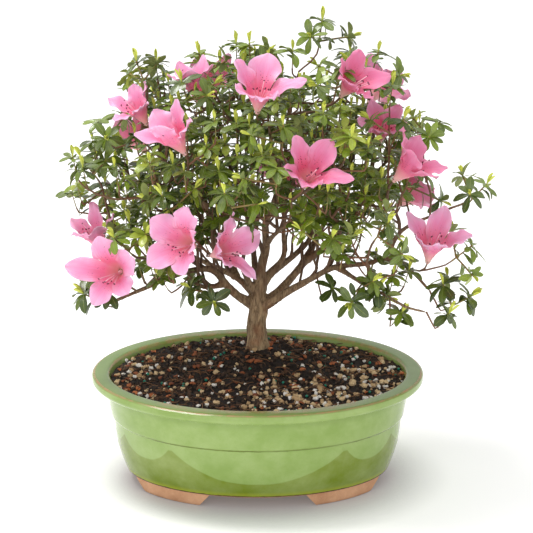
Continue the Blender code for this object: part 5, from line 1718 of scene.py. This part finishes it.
def bloom_lobes(bloom, rng):
    """The five lobes of one bloom, as the frame's solid has them, each with its own waves and folds."""
    lobes = []
    for petal, (length, width, opened) in enumerate(bloom.lobes):
        lobes.append({
            "turn": 2 * math.pi * petal / PETALS,
            "length": length,
            "width": width,
            "lean": [angle * bloom.openness * opened for angle in PETAL_LEAN],
            "seam": [angle * bloom.openness for angle in PETAL_LEAN],
            "ruffle": rng.uniform(1.1, 2.3),
            "cup": rng.uniform(0.15, 0.5),
            "curl": rng.uniform(0.0, 0.5),
            "twist": rng.uniform(-0.4, 0.4),
            "blotch": 0.35,
        })
    lobes[upper_lobe(bloom)]["blotch"] = 1.0
    return lobes


BLOOM_TONES = {4: 1.0, 5: 0.75, 6: 0.85, 7: 0.7}


def bloom_frame(bloom):
    """Stands the bloom's own +Z along the way it faces, turned about it."""
    facing = bloom.axis.to_track_quat("Z", "Y")
    return (Matrix.Translation(bloom.base) @ facing.to_matrix().to_4x4()
            @ Matrix.Rotation(math.radians(bloom.roll), 4, "Z"))


def upper_lobe(bloom):
    """The number of the lobe that stands highest."""
    turn = bloom_frame(bloom).to_3x3()
    return max(range(PETALS), key=lambda petal: (turn @ Vector((
        math.cos(2 * math.pi * petal / PETALS), math.sin(2 * math.pi * petal / PETALS), 0))).z)


def make_corolla(bloom, settings, rng):
    sheets = [model_petal(lobe, settings, rng) for lobe in bloom_lobes(bloom, rng)]
    corolla = join(sheets, "corolla")
    edit_points(corolla, lambda point: True)
    bpy.ops.mesh.remove_doubles(threshold=0.02)
    bpy.ops.mesh.normals_make_consistent(inside=False)
    leave_edit()
    apply_modifier(corolla, "SOLIDIFY", thickness=settings.thickness / MM, offset=0.0)
    return corolla


def make_stamens(bloom, rng):
    """Filaments and a longer pistil that lean to the lower side of the bloom and turn up at their tips."""
    turn = bloom_frame(bloom).to_3x3().inverted()
    down = turn @ Vector((0, 0, -1))
    down.z = 0
    down = down.normalized() if down.length > 0.1 else Vector((1, 0, 0))
    side = Vector((0, 0, 1)).cross(down)
    runs = []
    ends = []
    for strand_number in range(7):
        pistil = strand_number == 6
        spread = (strand_number - 2.5) * 0.42
        lean = down * (2.2 if pistil else rng.uniform(1.0, 3.4)) + side * (0.3 if pistil else spread * 2.0)
        length = 37 if pistil else rng.uniform(25, 32)
        first = Vector((0, 0, 1)) + lean * 0.2
        bend = Vector((0, 0, length * 0.5)) + lean * 1.2
        last = Vector((0, 0, length * 0.95)) + lean * 3.4
        path = bezier(first, first.lerp(bend, 0.6), bend, last, 3.0)
        radius = 0.42 if pistil else 0.28
        runs.append((path, [radius] * len(path), 1.0 if pistil else 0.0))
        ends.append((path[-1], pistil))
    heart = add(bpy.ops.mesh.primitive_cone_add, "heart", vertices=10, radius1=2.1, radius2=0.5, depth=5.0,
                location=(0, 0, 5.4))
    filaments = join([tubes("filaments", runs, 5), heart], "filaments")
    anthers = []
    for place, pistil in ends:
        size = (0.7, 0.7, 0.5) if pistil else (0.62, 0.62, 1.15)
        anther = add(bpy.ops.mesh.primitive_ico_sphere_add, "anther", subdivisions=2, radius=1.0)
        edit_points(anther, lambda point: True)
        bpy.ops.transform.resize(value=size, center_override=(0, 0, 0))
        leave_edit()
        lean = Quaternion((rng.uniform(-1, 1), rng.uniform(-1, 1), 0), rng.uniform(0.3, 1.2))
        anther.data.transform(Matrix.Translation(place) @ lean.to_matrix().to_4x4())
        anthers.append(anther)
    return filaments, join(anthers, "anthers")


def make_calyx():
    """A small green cup of five sepals under the tube."""
    cup = add(bpy.ops.mesh.primitive_cone_add, "calyx", vertices=10, radius1=1.3, radius2=2.5, depth=2.6,
              location=(0, 0, 0.6))
    bpy.ops.object.transform_apply(location=True, rotation=True, scale=True)
    for index, vertex in enumerate(cup.data.vertices):
        if vertex.co.z > 0 and index % 4 == 1:
            vertex.co.z += 1.6
            vertex.co.x *= 1.12
            vertex.co.y *= 1.12
    return cup


def make_blooms(settings):
    rng = random.Random(SEED)
    finishes = {
        "petal": petal_finish(settings),
        "filament": plain_finish("filament", srgb(250, 214, 222), srgb(240, 168, 190), 200.0, 0.45),
        "anther": plain_finish("anther", settings.speckle, srgb(84, 30, 50), 900.0, 0.6),
        "calyx": plain_finish("calyx", srgb(120, 140, 60), srgb(150, 120, 80), 300.0, 0.6),
    }
    for number, bloom in enumerate(BLOOMS):
        corolla = make_corolla(bloom, settings, rng)
        corolla.data.materials.append(finishes["petal"])
        filaments, anthers = make_stamens(bloom, rng)
        filaments.data.materials.append(finishes["filament"])
        anthers.data.materials.append(finishes["anther"])
        calyx = make_calyx()
        calyx.data.materials.append(finishes["calyx"])
        flower = join([corolla, filaments, anthers, calyx], f"flower_{number + 1:02d}")
        tone = flower.data.attributes.get("tone")
        if tone is not None:
            flower.data.attributes.remove(tone)
        tone = flower.data.attributes.new("tone", "FLOAT", "POINT")
        tone.data.foreach_set("value", [BLOOM_TONES.get(number, 0.12)] * len(flower.data.vertices))
        lowest = min(vertex.co.z for vertex in flower.data.vertices)
        flower.data.transform(bloom_frame(bloom) @ Matrix.Scale(bloom.scale, 4)
                              @ Matrix.Translation((0, 0, -lowest)))
        smooth(flower, 80)
        settle(flower, "petals", BLOOM_NODES[number])


# Stage

PHOTO_SIZE = 533
SENSOR = 36.0
RIM_SCALE = 0.921
RIM_PIXEL = (257.5, 369.5)


def make_stage(settings):
    """Floor, soft lights and a camera at the photograph's distance and angle."""
    scene = bpy.context.scene
    scene.view_settings.view_transform = "Standard"
    floor = add(bpy.ops.mesh.primitive_plane_add, "studio_floor", size=14.0,
                location=(POT_CENTRE.x, POT_CENTRE.y, -0.0004))
    bpy.ops.object.transform_apply(location=True, rotation=True, scale=True)
    floor.data.materials.append(floor_finish(settings))
    world = bpy.data.worlds.new("studio")
    world.use_nodes = True
    world.node_tree.nodes["Background"].inputs["Color"].default_value = (1.0, 1.0, 1.0, 1.0)
    world.node_tree.nodes["Background"].inputs["Strength"].default_value = 0.78
    scene.world = world
    add_light("key", (-0.85, 0.3, 2.3), 0.9, 34.0, (1.0, 0.99, 0.97))
    add_light("fill", (-0.6, -2.0, 1.2), 1.5, 9.0, (1.0, 1.0, 1.0))
    add_camera(settings)


def add_light(name, offset, size, power, colour):
    aim = POT_CENTRE + Vector((0, 0, 0.2))
    place = POT_CENTRE + Vector(offset)
    bpy.ops.object.select_all(action="DESELECT")
    bpy.ops.object.light_add(type="AREA", location=place)
    light = bpy.context.object
    light.name = name
    light.data.shape = "DISK"
    light.data.size = size
    light.data.energy = power
    light.data.color = colour
    light.rotation_euler = (aim - place).to_track_quat("-Z", "Y").to_euler()


def add_camera(settings):
    """Stands the camera where the photograph was taken, aimed so that the rim falls where it does there."""
    place = POT_CENTRE + eye() * MM
    pixel = RIM_SCALE * MM / settings.distance
    right = Vector((1, 0, 0))
    up = Vector((0, math.sin(settings.elevation), math.cos(settings.elevation)))
    ahead = Vector((0, math.cos(settings.elevation), -math.sin(settings.elevation)))
    middle = PHOTO_SIZE / 2
    aim = ahead + right * (middle - RIM_PIXEL[0]) * pixel + up * (RIM_PIXEL[1] - middle) * pixel
    bpy.ops.object.select_all(action="DESELECT")
    bpy.ops.object.camera_add(location=place)
    camera = bpy.context.object
    camera.data.sensor_width = SENSOR
    camera.data.lens = SENSOR / (PHOTO_SIZE * pixel)
    camera.data.clip_end = 30.0
    camera.rotation_euler = aim.to_track_quat("-Z", "Y").to_euler()
    bpy.context.scene.camera = camera


# Operators and panel

class BONSAI_OT_pot(bpy.types.Operator):
    """Add the glazed oval pot and its drain screens"""

    bl_idname = "bonsai.add_pot"
    bl_label = "Glazed Pot"
    bl_options = {"REGISTER", "UNDO"}

    def execute(self, context):
        make_pot(context.scene.bonsai_pot)
        dress_screens()
        return {"FINISHED"}


class BONSAI_OT_soil(bpy.types.Operator):
    """Add the potting soil with its crumbs, grit and beads"""

    bl_idname = "bonsai.add_soil"
    bl_label = "Potting Soil"
    bl_options = {"REGISTER", "UNDO"}

    def execute(self, context):
        make_soil(context.scene.bonsai_soil)
        return {"FINISHED"}


class BONSAI_OT_tree(bpy.types.Operator):
    """Add the trunk, limbs and twigs, and the foliage on them"""

    bl_idname = "bonsai.add_tree"
    bl_label = "Tree and Foliage"
    bl_options = {"REGISTER", "UNDO"}

    def execute(self, context):
        scene = context.scene
        whorls = fill_crown(scene.bonsai_leaf.whorls)
        make_limbs(scene.bonsai_wood)
        make_twigs(scene.bonsai_wood, grow(whorls))
        make_foliage(scene.bonsai_leaf, whorls)
        return {"FINISHED"}


class BONSAI_OT_blooms(bpy.types.Operator):
    """Add the open blooms"""

    bl_idname = "bonsai.add_blooms"
    bl_label = "Blooms"
    bl_options = {"REGISTER", "UNDO"}

    def execute(self, context):
        make_blooms(context.scene.bonsai_bloom)
        return {"FINISHED"}


class BONSAI_OT_stage(bpy.types.Operator):
    """Add the floor, lights and camera"""

    bl_idname = "bonsai.add_stage"
    bl_label = "Studio Stage"
    bl_options = {"REGISTER", "UNDO"}

    def execute(self, context):
        make_stage(context.scene.bonsai_stage)
        return {"FINISHED"}


class BONSAI_PT_panel(bpy.types.Panel):
    """Builds the bonsai and shows its settings"""

    bl_idname = "BONSAI_PT_panel"
    bl_label = "Azalea Bonsai"
    bl_space_type = "VIEW_3D"
    bl_region_type = "UI"
    bl_category = "Bonsai"

    def draw(self, context):
        for operator, name in STEPS:
            box = self.layout.box()
            box.operator(operator)
            group = getattr(context.scene, name)
            for setting in group.__annotations__:
                box.prop(group, setting)


STEPS = (
    ("bonsai.add_pot", "bonsai_pot"),
    ("bonsai.add_soil", "bonsai_soil"),
    ("bonsai.add_tree", "bonsai_leaf"),
    ("bonsai.add_blooms", "bonsai_bloom"),
    ("bonsai.add_stage", "bonsai_stage"),
)
GROUPS = {
    "bonsai_pot": PotSettings, "bonsai_soil": SoilSettings, "bonsai_wood": WoodSettings,
    "bonsai_leaf": LeafSettings, "bonsai_bloom": BloomSettings, "bonsai_stage": StageSettings,
}
CLASSES = (
    *GROUPS.values(), BONSAI_OT_pot, BONSAI_OT_soil, BONSAI_OT_tree, BONSAI_OT_blooms, BONSAI_OT_stage,
    BONSAI_PT_panel,
)


def register():
    for item in CLASSES:
        bpy.utils.register_class(item)
    for name, group in GROUPS.items():
        setattr(bpy.types.Scene, name, bpy.props.PointerProperty(type=group))


def unregister():
    for name in GROUPS:
        delattr(bpy.types.Scene, name)
    for item in reversed(CLASSES):
        bpy.utils.unregister_class(item)


def main():
    register()
    for operator, _ in STEPS:
        group, name = operator.split(".")
        getattr(getattr(bpy.ops, group), name)()


if __name__ == "__main__":
    main()
